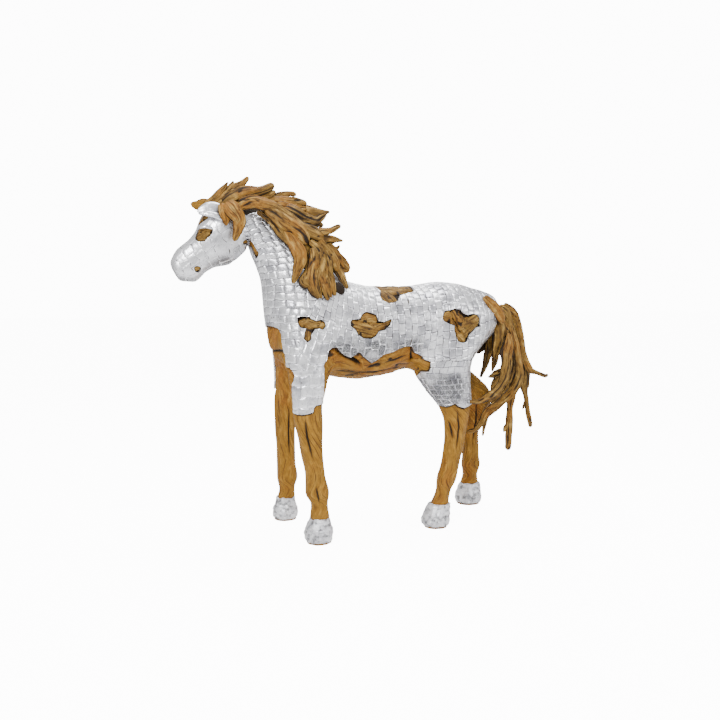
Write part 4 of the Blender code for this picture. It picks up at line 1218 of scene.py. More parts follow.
    def cut_plates(self, shape: Shape, plates: Values, skin: Skin, tract: Tract) -> None:
        """Adds the plates that an opening crosses, drawn back to it and turned down there.

        Points just past the opening's edge step onto it: three times by the cover there
        over its slope, along both of the tube's ways.

        Args:
            shape: What the plates are added to.
            plates: What lay gives.
            skin: The tube.
            tract: Which part of the horse it covers.
        """
        shares = np.linspace(0, 1, self.fine)
        shares = shares + 0.03 * np.sin(2 * np.pi * shares)
        along, around, _, _, cover = self.sample(plates, skin, shares, tract)
        inside = cover >= 0
        padded = np.pad(inside, ((0, 0), (1, 1), (1, 1)))
        near = np.zeros_like(inside)
        for i, j in product(range(3), repeat=2):
            near |= padded[:, i:i + self.fine, j:j + self.fine]
        moved = ~inside & near
        a, b = along[moved], around[moved]
        row, column = (step[moved] for step in skin.steps(along, around))
        for _ in range(3):
            value, ahead, aside = (
                self.cover(skin.read(a + i, b + j)[0], tract) * HAND
                for i, j in ((0, 0), (self.probe / row, 0), (0, self.probe / column))
            )
            slope_a, slope_b = (ahead - value) / self.probe, (aside - value) / self.probe
            steep = np.maximum(slope_a**2 + slope_b**2, 0.3)
            a = a - np.clip(value * slope_a / steep, -0.006, 0.006) / row
            b = b - np.clip(value * slope_b / steep, -0.006, 0.006) / column
        along[moved], around[moved] = a, b
        points, out = skin.read(along, around)
        swell = self.lip * np.exp(-np.maximum(cover * HAND, 0) / self.lip_width)
        keep = quad_corners(inside).any(axis=3)
        index = self.put_down(
            shape, plates, shares, points, out, tract, np.where(moved, 0.003, -1.0), swell, keep
        )
        low = (to_metres(points) + out * self.rim).reshape(-1, 3)
        self.turn_down(shape, index, keep, moved, low, plates["tone"])

    @staticmethod
    def turn_down(shape: Shape, index: Array, keep: Array, moved: Array, low: Array, tone: Array) -> None:
        """Adds a strip from the cut edge down to the rim's foot, so the metal has thickness.

        The cut edge is every side of a kept quad that no other kept quad shares and whose
        two ends lie on an opening's edge.

        Args:
            shape: What the strip is added to.
            index: The numbers of the plates' points.
            keep: Which of their quads are made.
            moved: Which points lie on an opening's edge.
            low: Where the rim's foot is under each point, in metres.
            tone: The tone of each plate.
        """
        corners = quad_corners(index)[keep]
        sides = np.concatenate([corners[:, [k, (k + 1) % 4]] for k in range(4)])
        _, first, counts = np.unique(np.sort(sides, axis=1), axis=0, return_index=True, return_counts=True)
        lone = sides[first[counts == 1]] - index.min()
        ends = lone[moved.ravel()[lone].all(axis=1)][:, ::-1]
        strip = np.stack([shape.points[-1][ends], low[ends]], axis=1)
        tone = np.broadcast_to(tone, moved.shape).ravel()[ends][:, None]
        values = {"seam": np.array([[0.9], [0.0]]), "tone": tone, "shade": 0.0, "pits": 0.0}
        shape.grid(strip, np.zeros((*strip.shape[:3], 2)), values)

    def build(self, finish: Material) -> None:
        """Makes the plates: body, neck and head, then those on the legs.

        Args:
            finish: Their material.
        """
        near_fore, far_fore, near_hind, far_hind = self.legs
        for name, skin, coursing, tract in (
            ("quarters", self.trunk, QUARTERS_COURSES, Tract.BODY),
            ("barrel", self.trunk, BARREL_COURSES, Tract.BODY),
            ("neck", self.neck, NECK_COURSES, Tract.NECK),
            ("head", self.trunk, HEAD_COURSES, Tract.HEAD),
            ("near_forearm", near_fore, FORE_COURSES, Tract.LEG),
            ("far_forearm", far_fore, FORE_COURSES, Tract.LEG),
            ("near_thigh", near_hind, HIND_COURSES, Tract.LEG),
            ("far_thigh", far_hind, HIND_COURSES, Tract.LEG),
        ):
            shape = Shape()
            self.plates_on(shape, skin, coursing, tract)
            made = shape.piece(f"plates_on_{name}", finish, 60)
            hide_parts("metal_cladding")


@dataclass(frozen=True)
class Groove:
    """A cut along the wood: its path in the side view, depth in metres, width in hands."""

    path: Table
    depth: float
    width: float
    side: Side = Side.BOTH


BELLY_GROOVES = (
    Groove(((-2.8, 11.2), (-2.1, 10.7), (-1.7, 10.5), (-1.2, 10.2), (-1.0, 10.0)), 0.020, 0.11, Side.NEAR),
    Groove(((-1.75, 10.6), (-1.4, 10.35), (-1.15, 10.1)), 0.016, 0.13, Side.NEAR),
    Groove(((-3.2, 10.5), (-3.1, 11.0), (-2.8, 11.2), (-2.4, 11.15)), 0.014, 0.09, Side.NEAR),
    Groove(((-3.15, 10.7), (-3.1, 10.1), (-2.8, 9.6)), 0.014, 0.08, Side.NEAR),
    Groove(((-0.7, 9.95), (-0.3, 10.0), (0.1, 10.2)), 0.010, 0.10, Side.NEAR),
    Groove(((0.3, 10.2), (1.0, 10.4), (1.8, 10.7)), 0.008, 0.07, Side.NEAR),
    Groove(((2.0, 11.2), (2.0, 10.7), (2.2, 10.3), (2.5, 10.1), (2.7, 9.6)), 0.018, 0.09, Side.NEAR),
    Groove(((2.65, 10.8), (2.8, 10.5), (2.7, 10.2), (2.7, 9.6)), 0.014, 0.08, Side.NEAR),
    Groove(((-2.2, 9.95), (-1.2, 9.65), (-0.2, 9.6), (0.9, 9.8), (2.0, 9.9)), 0.008, 0.07, Side.NEAR),
    Groove(((-3.0, 10.7), (-1.5, 10.0), (0.2, 10.0)), 0.013, 0.09, Side.FAR),
    Groove(((0.6, 10.3), (2.0, 10.6), (3.0, 10.1)), 0.010, 0.08, Side.FAR),
)
LEG_GROOVES = (
    Groove(((-6.7, 11.0), (-5.9, 10.9), (-5.3, 11.2), (-4.9, 11.8)), 0.014, 0.10),
    Groove(((-4.6, 7.5), (-4.45, 6.2), (-4.1, 4.8)), 0.011, 0.07, Side.NEAR),
    Groove(((-4.0, 3.4), (-3.8, 2.4)), 0.007, 0.06, Side.NEAR),
    Groove(((4.9, 7.4), (5.1, 6.2), (5.0, 4.6)), 0.010, 0.07, Side.NEAR),
    Groove(((4.5, 6.6), (4.75, 5.4)), 0.008, 0.06, Side.NEAR),
    Groove(((-4.6, 7.6), (-4.6, 5.6), (-4.5, 4.2)), 0.010, 0.07, Side.FAR),
    Groove(((8.1, 7.4), (8.2, 5.8), (8.0, 4.2)), 0.010, 0.07, Side.FAR),
)


@dataclass
class CarvedBody:
    """The wood: trunk, neck and head in one tube, and four legs run up into it.

    Attributes:
        trunk: The tube of the trunk, neck and head.
        legs: The four leg tubes.
        openings: Where the metal leaves the wood bare.
        recess: How deep the wood lies in the patches, under their own pieces, in metres.
        hem_groove: How deep the wood goes along the metal's lower edge, in metres.
        hem_width: How far that groove goes from the edge, in hands.
        heights: How high the wood's swells, ridges and knots are, in metres.
        hoof: From where to where a hoof is under its cap, in hands.
        spacing: Row of the trunk's tube, then how far its rows are apart, in metres.
        columns: Columns round the trunk.
        leg_rows: Rows up a leg.
        leg_columns: Columns round a leg.
    """

    trunk: Skin
    legs: tuple[Skin, ...]
    openings: Openings
    recess: float = 0.035
    hem_groove: float = 0.012
    hem_width: float = 0.19
    heights: tuple[float, float, float] = (0.0075, 0.0036, 0.0042)
    hoof: tuple[float, float] = (0.11, 1.42)
    spacing: Table = (
        (0, 0.007), (15, 0.011), (30, 0.008), (38, 0.006), (64, 0.0065), (74, 0.013), (135, 0.014),
    )
    columns: int = 200
    leg_rows: int = 200
    leg_columns: int = 72

    def relief(self, points: Array, upright: Array) -> tuple[Array, Array]:
        """How the bare wood swells and is cut, and how much shade is painted in its crevices.

        Long swells are noise drawn out along the grain: level on the belly, upright on
        the legs. A groove is a bell across its path that fades at both ends.

        Args:
            points: Places in hands.
            upright: 1 where the grain stands upright, 0 where it lies level.

        Returns:
            Height in metres, and 0 to 1 for how deep in a crevice.
        """
        stands = upright[..., None]
        level, stood = points * (0.22, 0.9, 1.15) * (1 - stands), points * (1.25, 1.25, 0.2) * stands
        ridge = layered_noise(level * 3.2 + stood * 3, 8, 2)
        knots = layered_noise(points * (1.5, 2.4, 2.8), 9, 2) * (1 - upright)
        swell = layered_noise(level + stood, 7, 2)
        height = sum(high * part for high, part in zip(self.heights, (swell, ridge, knots)))
        # Painted shade in the hollows between ridges and knots, and in the grooves below
        crevice = smooth_step(-ridge, 0.30, 0.85) * (0.75 - 0.35 * upright)
        crevice = np.maximum(crevice, 0.8 * smooth_step(-knots, 0.35, 0.9))
        for group, weight in ((BELLY_GROOVES, 1 - upright), (LEG_GROOVES, upright)):
            for groove in group:
                away, along = stroke_distance(points[..., (0, 2)], groove.path)
                fade = np.sin(np.pi * np.clip(along, 0.04, 0.96)) ** 0.5
                here = (points[..., 1] * groove.side.value > -0.2) * weight
                bell = np.exp(-((away / groove.width) ** 2)) * fade * here
                height -= groove.depth * bell
                crevice = np.maximum(crevice, bell)
        return height, crevice

    def surface(self, points: Array, upright: Array) -> Arrays:
        """The wood at places: bare, grooved along the metal's hem, or sunk under the metal.

        Args:
            points: Places in hands.
            upright: 1 where the grain stands upright, 0 where it lies level.

        Returns:
            Height in metres, the shade painted in crevices, grooves and along the hem, and how far under the
            metal, 0 to 1.
        """
        below, patches = self.openings.below(points), self.openings.in_patches(points)
        under = smooth_step(np.minimum(below, patches), -0.03, 0.02)
        height, crevice = self.relief(points, upright)
        hem = np.exp(np.minimum(below, 0) / self.hem_width)
        height = (height - self.hem_groove * hem - 0.001) * (1 - under) - 0.0012 * under
        height -= (self.recess - 0.001) * smooth_step(-patches, -0.10, 0.06)
        # Painted shade also along the groove at the metal's hem
        return height, np.maximum(crevice, smooth_step(hem, 0.42, 0.85)) * (1 - under), under

    def tube(
        self, name: str, metres: Array, run: Array, values: Values, ends: dict[str, float], finish: Material
    ) -> None:
        """Makes a closed tube of wood, its pattern as long and as far round as it is.

        Args:
            name: What it is called.
            metres: Rows by columns of places, in metres.
            run: How far along the tube each row lies, in metres.
            values: What the finish reads at each place.
            ends: What it reads in the middle of both ends.
            finish: Its material.
        """
        ring = np.concatenate([metres, metres[:, :1]], axis=1)
        places = np.stack(np.broadcast_arrays(run[:, None], run[0] + run_along(ring)), axis=2)
        shape = Shape()
        index = shape.grid(metres, places, values, closed=True)[0]
        shape.close_ends(index, metres, ends)
        self.dress(shape.piece(name, finish))

    def body(self, finish: Material) -> None:
        """Makes the trunk, neck and head: rows closer along the belly, columns along the keel.

        Args:
            finish: Its material.
        """
        fine = np.linspace(0, self.trunk.rows - 1.0, 1500)
        side, _ = self.trunk.read(fine, np.full_like(fine, self.trunk.columns * 0.7))
        run = run_along(side) * HAND
        laid = summed(np.diff(run) / monotone(self.spacing, fine)[1:, 0])
        rows = np.interp(np.linspace(0, laid[-1], int(laid[-1])), laid, fine)
        share = np.arange(self.columns) / self.columns
        turn = (share + 0.06 * np.sin(2 * np.pi * share)) * self.trunk.columns
        points, out = self.trunk.read(*np.meshgrid(rows, turn, indexing="ij"))
        chest = smooth_step(-points[..., 0], 4.2, 5.0) * (points[..., 2] < 13)
        height, crevice, under = self.surface(points, chest)
        # Under the metal the wood is painted in shade; it shows only through the joints and at the metal's
        # edges
        values = {"cover": under, "crevice": crevice, "tone": 0.62}
        metres = to_metres(points) + out * height[..., None]
        ends = {"cover": 1.0, "crevice": 0.0, "tone": 0.5}
        self.tube("trunk_wood", metres, np.interp(rows, fine, run), values, ends, finish)

    def leg(self, name: str, skin: Skin, finish: Material, spot: float) -> None:
        """Makes one leg: its top is sunk a little into the trunk, its sole is flat.

        Args:
            name: What it is called.
            skin: Its tube.
            finish: Its material.
            spot: Where on the pattern it starts, in metres.
        """
        rows = np.linspace(0, skin.rows - 1.0, self.leg_rows)
        turn = np.linspace(0, skin.columns, self.leg_columns, endpoint=False)
        points, out = skin.read(*np.meshgrid(rows, turn, indexing="ij"))
        level, (low, high) = points[..., 2], self.hoof
        height, crevice, under = self.surface(points, np.ones(level.shape))
        in_hoof = smooth_step(level, low - 0.05, low) * smooth_step(-level, -high - 0.06, -high)
        height = height * (1 - in_hoof) - 0.002 * in_hoof - 0.006 * smooth_step(level, 9.3, 10.0)
        height = np.where(level < 0.1, np.clip(height, -0.004, 0.001), height)
        metres = to_metres(points) + out * height[..., None] * (1, 1, 0)
        metres[0, :, 2] = 0.0
        # Under the metal and the hoof's cap the wood is painted in shade
        values = {"cover": np.maximum(under, in_hoof * 0.6), "crevice": crevice, "tone": 0.45}
        ends = {"cover": 0.0, "crevice": 0.3, "tone": 0.4}
        self.tube(name, metres, metres[:, 0, 2] + spot, values, ends, finish)

    @staticmethod
    def dress(piece: bpy.types.Object) -> None:
        """Hides the solid of the carved body, whose place the pieces of wood take."""
        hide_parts("carved_body")

    def build(self, finish: Material) -> None:
        """Makes the trunk and the legs.

        Args:
            finish: Their material.
        """
        self.body(finish)
        names = ("near_fore_leg", "far_fore_leg", "near_hind_leg", "far_hind_leg")
        for k, (name, skin) in enumerate(zip(names, self.legs)):
            self.leg(name, skin, finish, 3.0 * (k + 1))


@dataclass(frozen=True)
class Lump:
    """A piece of wood in a patch: its path in the flat view, radii at both ends, top.

    Attributes:
        path: Where it runs, in hands.
        start: Its radius at the first end, in hands.
        end: Its radius at the other, in hands.
        top: How high it stands over the form, in metres.
    """

    path: Table
    start: float
    end: float
    top: float = 0.002


@dataclass(frozen=True)
class PatchWood:
    """The wood that shows in one opening: lumps of root over a floor darkened by painted shade.

    Attributes:
        name: What the piece is called.
        opening: The opening it fills.
        lumps: The pieces of root in it.
        tone: How light and red it is.
        floor: How low the wood lies between them, in metres.
        step: How far its points are apart, in metres.
        seed: Which chance values shape it.
        strands: How high the small ridges along a lump are, in metres.
        dip: How deep it dips under the metal, in metres.
    """

    name: str
    opening: Opening
    lumps: tuple[Lump, ...]
    tone: float = 0.5
    floor: float = -0.020
    step: float = 0.0045
    seed: int = 31
    strands: float = 0.0030
    dip: float = 0.0095

    def stretch(self, trunk: Skin, survey: Arrays) -> tuple[Array, Array]:
        """The stretch of the tube that the opening and a rim round it take up.

        Args:
            trunk: The tube that it lies on.
            survey: Rows, columns and places of a close survey of the tube.

        Returns:
            Rows and columns of a grid over it, a step apart.
        """
        rows, columns, places = survey
        away, half = self.opening.distance(places), trunk.columns / 2
        near, deepest = away < 0.16, columns[away.argmin()]
        beside = (columns[near] - deepest + half) % trunk.columns - half
        first, last = rows[near].min(), rows[near].max()
        left, right = deepest + beside.min(), deepest + beside.max()
        corners, _ = trunk.read(np.array([first, last, first]), np.array([left, left, right]))
        wide, long = np.linalg.norm(corners[1:] - corners[0], axis=1) * HAND
        return np.meshgrid(
            np.linspace(first, last, max(int(wide / self.step), 12)),
            np.linspace(left, right, max(int(long / self.step), 12)), indexing="ij",
        )

    def build(self, trunk: Skin, survey: Arrays, finish: Material) -> None:
        """Makes the piece on a fine grid of the tube's own rows and columns.

        Each lump is a half-round ridge along its path, with smaller ridges along it, and
        the highest of them shows. Outside the opening the wood dips under the metal.

        Args:
            trunk: The tube that it lies on.
            survey: Rows, columns and places of a close survey of the tube.
            finish: Its material.
        """
        points, out = trunk.read(*self.stretch(trunk, survey))
        view, away = points[..., self.opening.flat.value], self.opening.distance(points)
        height, grain = np.full(away.shape, self.floor), view * HAND
        for k, lump in enumerate(self.lumps):
            reach, share = stroke_distance(view, lump.path)
            own = np.full((*away.shape, 1), float(k))
            wobble = 1 + 0.22 * lattice_noise(np.concatenate([view * 2.3, own], axis=-1), self.seed)
            radius = (lump.start + (lump.end - lump.start) * share) * wobble
            profile = np.sqrt(np.clip(1 - (reach / radius) ** 2, 0, 1)) ** 0.8
            way = np.subtract(lump.path[-1], lump.path[0])
            way = way / np.linalg.norm(way)
            turned = view @ np.column_stack([way, (-way[1], way[0])])
            ridges = layered_noise(np.concatenate([turned * (0.7, 6), own], axis=-1), self.seed + 5, 2)
            here = self.floor + (lump.top - self.floor) * profile + self.strands * ridges * profile
            on_top = here > height
            height = np.where(on_top, here, height)
            grain[on_top] = turned[on_top] * HAND + 1.7 * (k + 1)
        knots = layered_noise(points * (0.018 / self.step), self.seed + 9, 3)
        height += 0.7 * self.step * knots
        dip = smooth_step(away, -0.03, 0.035)
        height = height * (1 - dip) - self.dip * dip
        # Painted shade where the wood lies low, near the opening's edge under the metal, and in the hollows
        # of the knots
        crevice = np.maximum.reduce([
            smooth_step(-height, 0.004, -self.floor * 0.8), 0.85 * smooth_step(away, -0.085, -0.015),
            0.85 * smooth_step(-knots, 0.20, 0.75),
        ])
        metres = to_metres(points) + out * height[..., None]
        shape = Shape()
        values = {"cover": 0.0, "crevice": crevice, "tone": self.tone}
        index = shape.grid(metres, grain, values)[0]
        ring = np.concatenate([index[0, :-1], index[:-1, -1], index[-1, :0:-1], index[:0:-1, 0]])
        # The floor's middle, sunk behind, is fully in painted shade
        deep = metres.mean(axis=(0, 1)) - out.mean(axis=(0, 1)) * 0.05
        shape.cap(ring, deep, {"cover": 0.0, "crevice": 1.0, "tone": self.tone}, False)
        CarvedBody.dress(shape.piece(self.name, finish))


PATCH_WOODS = (
    PatchWood("shoulder_wood", NEAR_PATCHES[0], (
        Lump(((-4.65, 12.62), (-4.3, 12.78)), 0.22, 0.24, 0.001),
        Lump(((-4.1, 12.6), (-3.45, 12.55)), 0.32, 0.28, 0.005),
        Lump(((-4.25, 12.3), (-4.33, 11.7)), 0.30, 0.20, 0.003),
    ), 0.42, seed=41),
    PatchWood("barrel_wood", NEAR_PATCHES[1], (
        Lump(((-1.1, 12.85), (-0.8, 12.95), (-0.45, 12.9)), 0.30, 0.32, 0.002),
        Lump(((-1.6, 12.5), (-1.0, 12.3), (-0.4, 12.15)), 0.34, 0.36, 0.007),
        Lump(((-0.5, 12.35), (0.1, 12.45), (0.62, 12.78)), 0.30, 0.13, 0.004),
        Lump(((-1.3, 12.1), (-0.7, 11.98)), 0.30, 0.30, 0.003),
    ), 0.5, seed=43),
    PatchWood("haunch_wood", NEAR_PATCHES[2], (
        Lump(((4.0, 12.88), (4.25, 12.95)), 0.30, 0.34, 0.003),
        Lump(((4.75, 13.1), (5.05, 12.7), (5.2, 12.25)), 0.32, 0.34, 0.006),
        Lump(((6.05, 12.7), (5.6, 12.6), (5.2, 12.35)), 0.36, 0.38, 0.007),
        Lump(((4.5, 12.6), (4.8, 12.0)), 0.15, 0.17, 0.000),
        Lump(((5.95, 12.35), (5.4, 11.85)), 0.27, 0.27, 0.001),
        Lump(((5.0, 11.72), (5.12, 11.6)), 0.30, 0.24, 0.003),
    ), 0.45, seed=47),
    PatchWood("back_wood", BACK_OPENING, (
        Lump(((0.2, -0.5), (1.4, -0.2), (2.7, -0.5)), 1.45, 1.1, 0.003),
        Lump(((0.6, -1.5), (0.85, -1.9)), 0.62, 0.44, 0.002),
    ), 0.25, seed=53),
    PatchWood("eye_wood", FACE_PATCHES[0], (
        Lump(((-10.1, 17.45), (-9.85, 17.6)), 0.20, 0.18, 0.005),
        Lump(((-10.15, 17.3), (-10.08, 17.6)), 0.17, 0.15, 0.004),
        Lump(((-9.95, 17.25), (-9.72, 17.25)), 0.18, 0.16, 0.004),
        Lump(((-10.12, 17.2), (-9.85, 17.22)), 0.18, 0.18, 0.004),
        Lump(((-10.0, 17.78), (-9.7, 17.82)), 0.14, 0.15, 0.004),
        Lump(((-9.75, 17.4), (-9.55, 17.55)), 0.17, 0.17, 0.005),
        Lump(((-9.5, 17.78), (-9.28, 17.8)), 0.16, 0.13, 0.003),
    ), 0.5, -0.010, 0.0030, 59),
    PatchWood("throat_wood", FACE_PATCHES[1], (
        Lump(((-7.5, 17.2), (-7.1, 17.1), (-6.8, 16.5)), 0.16, 0.10, 0.001),
    ), 0.4, -0.014, 0.0035, 61),
    PatchWood("mouth_wood", FACE_PATCHES[2], (
        Lump(((-10.25, 15.65), (-10.0, 15.7)), 0.14, 0.12, 0.000),
    ), 0.35, -0.012, 0.0030, 67),
    PatchWood("forehead_wood", FACE_PATCHES[3], (
        Lump(((-9.6, 18.7), (-10.0, 18.3)), 0.32, 0.22, 0.003),
    ), 0.45, -0.012, 0.0038, 71),
    PatchWood("far_shoulder_wood", FAR_PATCHES[0], (
        Lump(((-4.3, 12.9), (-3.3, 12.7)), 0.32, 0.26, 0.003),
        Lump(((-4.1, 12.4), (-4.1, 11.9)), 0.26, 0.20, 0.001),
    ), 0.45, seed=73, step=0.006),
    PatchWood("far_barrel_wood", FAR_PATCHES[1], (
        Lump(((-0.7, 12.2), (0.2, 12.5), (1.3, 12.5)), 0.34, 0.22, 0.004),
        Lump(((-0.2, 12.8), (0.9, 12.85)), 0.22, 0.18, 0.001),
    ), 0.5, seed=79, step=0.006),
    PatchWood("far_haunch_wood", FAR_PATCHES[2], (
        Lump(((4.9, 12.2), (5.5, 12.9), (6.3, 12.8)), 0.32, 0.26, 0.004),
        Lump(((5.3, 11.9), (6.0, 12.3)), 0.24, 0.20, 0.001),
    ), 0.45, seed=83, step=0.006),
    PatchWood("far_eye_wood", FAR_PATCHES[3], (
        Lump(((-10.0, 17.4), (-9.5, 17.7)), 0.22, 0.16, 0.002),
    ), 0.4, -0.012, 0.0036, 89),
)


@dataclass
class HoofCap:
    """A sheet cap round a hoof, crinkled, its top edge ragged and turned in.

    Attributes:
        name: The solid that it stands for.
        skin: The leg's tube.
        bottom: How high its lower edge is, in metres.
        top: How high its upper edge is, in metres.
        girth: How long its pattern is round the hoof, in metres.
        thick: How far it stands off the hoof, in metres.
        crinkle: How high its crinkles are, in metres.
        fold: How high its folds are, in metres.
        turned_in: How far its upper edge goes in, in metres.
        waver: How far its upper edge goes up and down, in metres.
        seed: Which chance values shape it.
        rows: Rows up the cap.
        columns: Columns round it.
    """

    name: str
    skin: Skin
    bottom: float = 0.011
    top: float = 0.146
    girth: float = 0.45
    thick: float = 0.0050
    crinkle: float = 0.0036
    fold: float = 0.0034
    turned_in: float = 0.004
    waver: float = 0.006
    seed: int = 0
    rows: int = 44
    columns: int = 96

    def build(self, finish: Material) -> None:
        """Makes the cap.

        The upper edge wavers by noise round the hoof. The height over the hoof is the
        sheet's thickness and noise, and it falls to nothing over the first and last rows.

        Args:
            finish: Its material.
        """
        turn = np.linspace(0, 2 * np.pi, self.columns, endpoint=False)
        ring = np.stack([np.cos(turn) * 2.2, np.sin(turn) * 2.2, 0 * turn], axis=1)
        edge = self.top + self.waver * layered_noise(ring, 90 + self.seed, 3)
        share = np.linspace(0, 1, self.rows)[:, None]
        share = share + 0.05 * np.sin(2 * np.pi * share)
        level = self.bottom + (edge - self.bottom) * share
        per_row = self.skin.points[1, 0, 2] - self.skin.points[0, 0, 2]
        around = np.broadcast_to(turn / (2 * np.pi) * self.skin.columns, level.shape)
        points, out = self.skin.read(level / HAND / per_row, around)
        crinkle = layered_noise(points * 5.5, 95 + self.seed, 3)
        folds = 1 - np.abs(layered_noise(points * 2.6, 97 + self.seed, 2))
        height = self.thick + self.crinkle * crinkle + self.fold * smooth_step(folds, 0.72, 1.0)
        height = height * smooth_step(share, 0.0, 0.03) * smooth_step(1 - share, 0.0, 0.05)
        height -= self.turned_in * (1 - smooth_step(1 - share, 0.0, 0.04))
        metres = to_metres(points) + out * (1, 1, 0) * height[..., None]
        round_it = np.linspace(0, self.girth, self.columns + 1)
        closed = np.concatenate([level, level[:, :1]], axis=1)
        # The tone is raised on the crinkle's crests as a painted highlight, and the shade value paints shade
        # in its hollows
        values = {
            "seam": np.exp(-(1 - share) / 0.03), "tone": 0.5 + 0.3 * crinkle,
            "shade": 0.8 * smooth_step(-crinkle, -0.1, 0.9), "pits": 0.0,
        }
        shape = Shape()
        shape.grid(metres, np.stack(np.broadcast_arrays(closed, round_it), axis=2), values, closed=True)
        made = shape.piece(f"{self.name}_sheet", finish, 60)
        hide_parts(self.name)


@dataclass(frozen=True)
class Root:
    """A length of root: the points it passes through, and its width at each, in hands.

    Attributes:
        path: Rows of x, y, z and width.
        flat: How thick it is, as a share of its width.
        tone: 0 dark to 1 light and red, below 0 near black.
        rough: How broken its surface is.
        relief: How strong its faces, fine ridges, knobs and splits are, as shares of its width.
        step: How far its rings are apart, in metres.
    """

    path: Table
    flat: float = 0.62
    tone: float = 0.5
    rough: float = 1.0
    relief: tuple[float, ...] = (0.17, 0.07, 0.10, -0.20)
    step: float = 0.007

    def frames(self) -> Arrays:
        """Rings along the root.

        The direction across is the path's own crossed with a way out to its side and a
        little up, and the way out is square to both.

        Returns:
            Places, directions across and out, half widths, and run, in metres.
        """
        path = np.asarray(self.path, float)
        count = int(np.clip(run_along(path[:, :3])[-1] * HAND / self.step, 18, 110))
        far = np.linspace(0, len(path) - 1.0, count)
        spine = to_metres(smooth_path(path[:, :3], far))
        forward = np.gradient(spine, axis=0)
        forward /= np.linalg.norm(forward, axis=1)[:, None]
        side = 1.0 if path[:, 1].mean() > 0 else -1.0
        across = np.cross(forward, (0.0, side, 0.35))
        across /= np.linalg.norm(across, axis=1)[:, None]
        half = monotone(np.column_stack([np.arange(len(path)), path[:, 3]]), far)[:, 0] * HAND / 2
        return spine, across, np.cross(across, forward), half, run_along(spine)

    def sweep(self, shape: Shape, seed: int, sides: int = 24) -> None:
        """Adds the root as a closed tube that faces out.

        A point is the path's place, plus the way across times the half width times the
        cosine of the turn, plus the way out times the thickness times its sine. Both are
        scaled by noise that changes slowly along the root and fast round it, so that flat
        faces, edges and splits run with it. Where that noise crosses nothing the root is
        split. The half width falls to nothing at both ends as a circle's does.

        Args:
            shape: What it is added to.
            seed: Which chance values shape it.
            sides: Points round it.
        """
        spine, over, out, half, run = self.frames()
        turn = np.linspace(0, 2 * np.pi, sides, endpoint=False)
        c, up, size = np.cos(turn), np.sin(turn), half.max()
        along = run[:, None] * (0.35 / size)

        def noise(offset: int, step: float, turns: float, layers: int = 1) -> Array:
            """Noise that changes by a step along the root and by some turns round it."""
            places = np.broadcast_arrays(along * step + seed, c * turns, up * turns)
            return layered_noise(np.stack(places, axis=-1), seed + offset, layers)

        faces, fine, knobs = noise(0, 0.45, 1.1, 2), noise(5, 0.9, 3.1, 2), noise(2, 1.1, 0.0)
        crack = smooth_step(-np.abs(noise(9, 0.35, 2.3)), -0.11, -0.01)
        parts = zip(self.relief, (faces, fine, knobs, crack))
        scale = 1 + self.rough * sum(strong * part for strong, part in parts)
        ends = np.minimum(run / (half[0] * 0.8 + 1e-4), (run[-1] - run) / (half[-1] * 1.3 + 1e-4))
        close = np.sqrt(np.clip(1 - (1 - np.clip(ends, 0.0, 1.0)) ** 2, 0.002, 1))
        wide = (half * close)[:, None]
        reach = squared_off(turn, 2.6) * scale
        drift = lattice_noise(np.column_stack([run * 16 + seed, 0 * run, 0 * run]), seed + 7)[:, None]
        points = (
            spine[:, None]
            + over[:, None] * (wide * (c * reach + 0.12 * self.rough * drift))[..., None]
            + out[:, None] * (wide * self.flat * up * reach)[..., None]
        )
        # Painted shade in the splits and in the hollows between faces; a tone below 0 adds painted shade over
        # the whole root
        crevice = np.maximum(crack * 0.9, smooth_step(-faces - 0.6 * fine, 0.5, 1.3))
        crevice = np.clip(crevice * min(self.rough, 1.0) + max(-self.tone, 0.0), 0, 1)
        # Painted shade along both edges of the root, and on its side facing in where it lies far out to the
        # side
        inner = np.clip(abs(np.asarray(self.path)[:, 1].mean()) - 0.8, 0, 0.85)
        dark = np.maximum(inner * smooth_step(-up, 0.05, 0.5), 0.9 * np.exp(-((up / 0.5) ** 2)))
        values = {"cover": 0.0, "crevice": np.maximum(crevice, dark), "tone": self.tone + 0.25 * knobs}
        girth = np.linspace(0, 2 * np.pi, sides + 1) * size * 0.8 + seed * 0.37
        places = np.stack(np.broadcast_arrays(run[:, None] + seed, girth), axis=2)
        index = shape.grid(points, places, values, closed=True)[0]
        shape.close_ends(index, points, {"cover": 0.0, "crevice": 0.35, "tone": self.tone})


def make_roots(
    name: str, node: str, roots: tuple[Root, ...], finish: Material, seed: int
) -> None:
    """Makes one piece of one or more roots that stand for the same solid.

    Args:
        name: What the piece is called.
        node: The solid that it stands for.
        roots: The roots.
        finish: Its material.
        seed: Which chance values shape it.
    """
    shape = Shape()
    for k, root in enumerate(roots):
        root.sweep(shape, seed * 7 + k * 3 + 1)
    made = shape.piece(name, finish, 42)
    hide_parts(node)


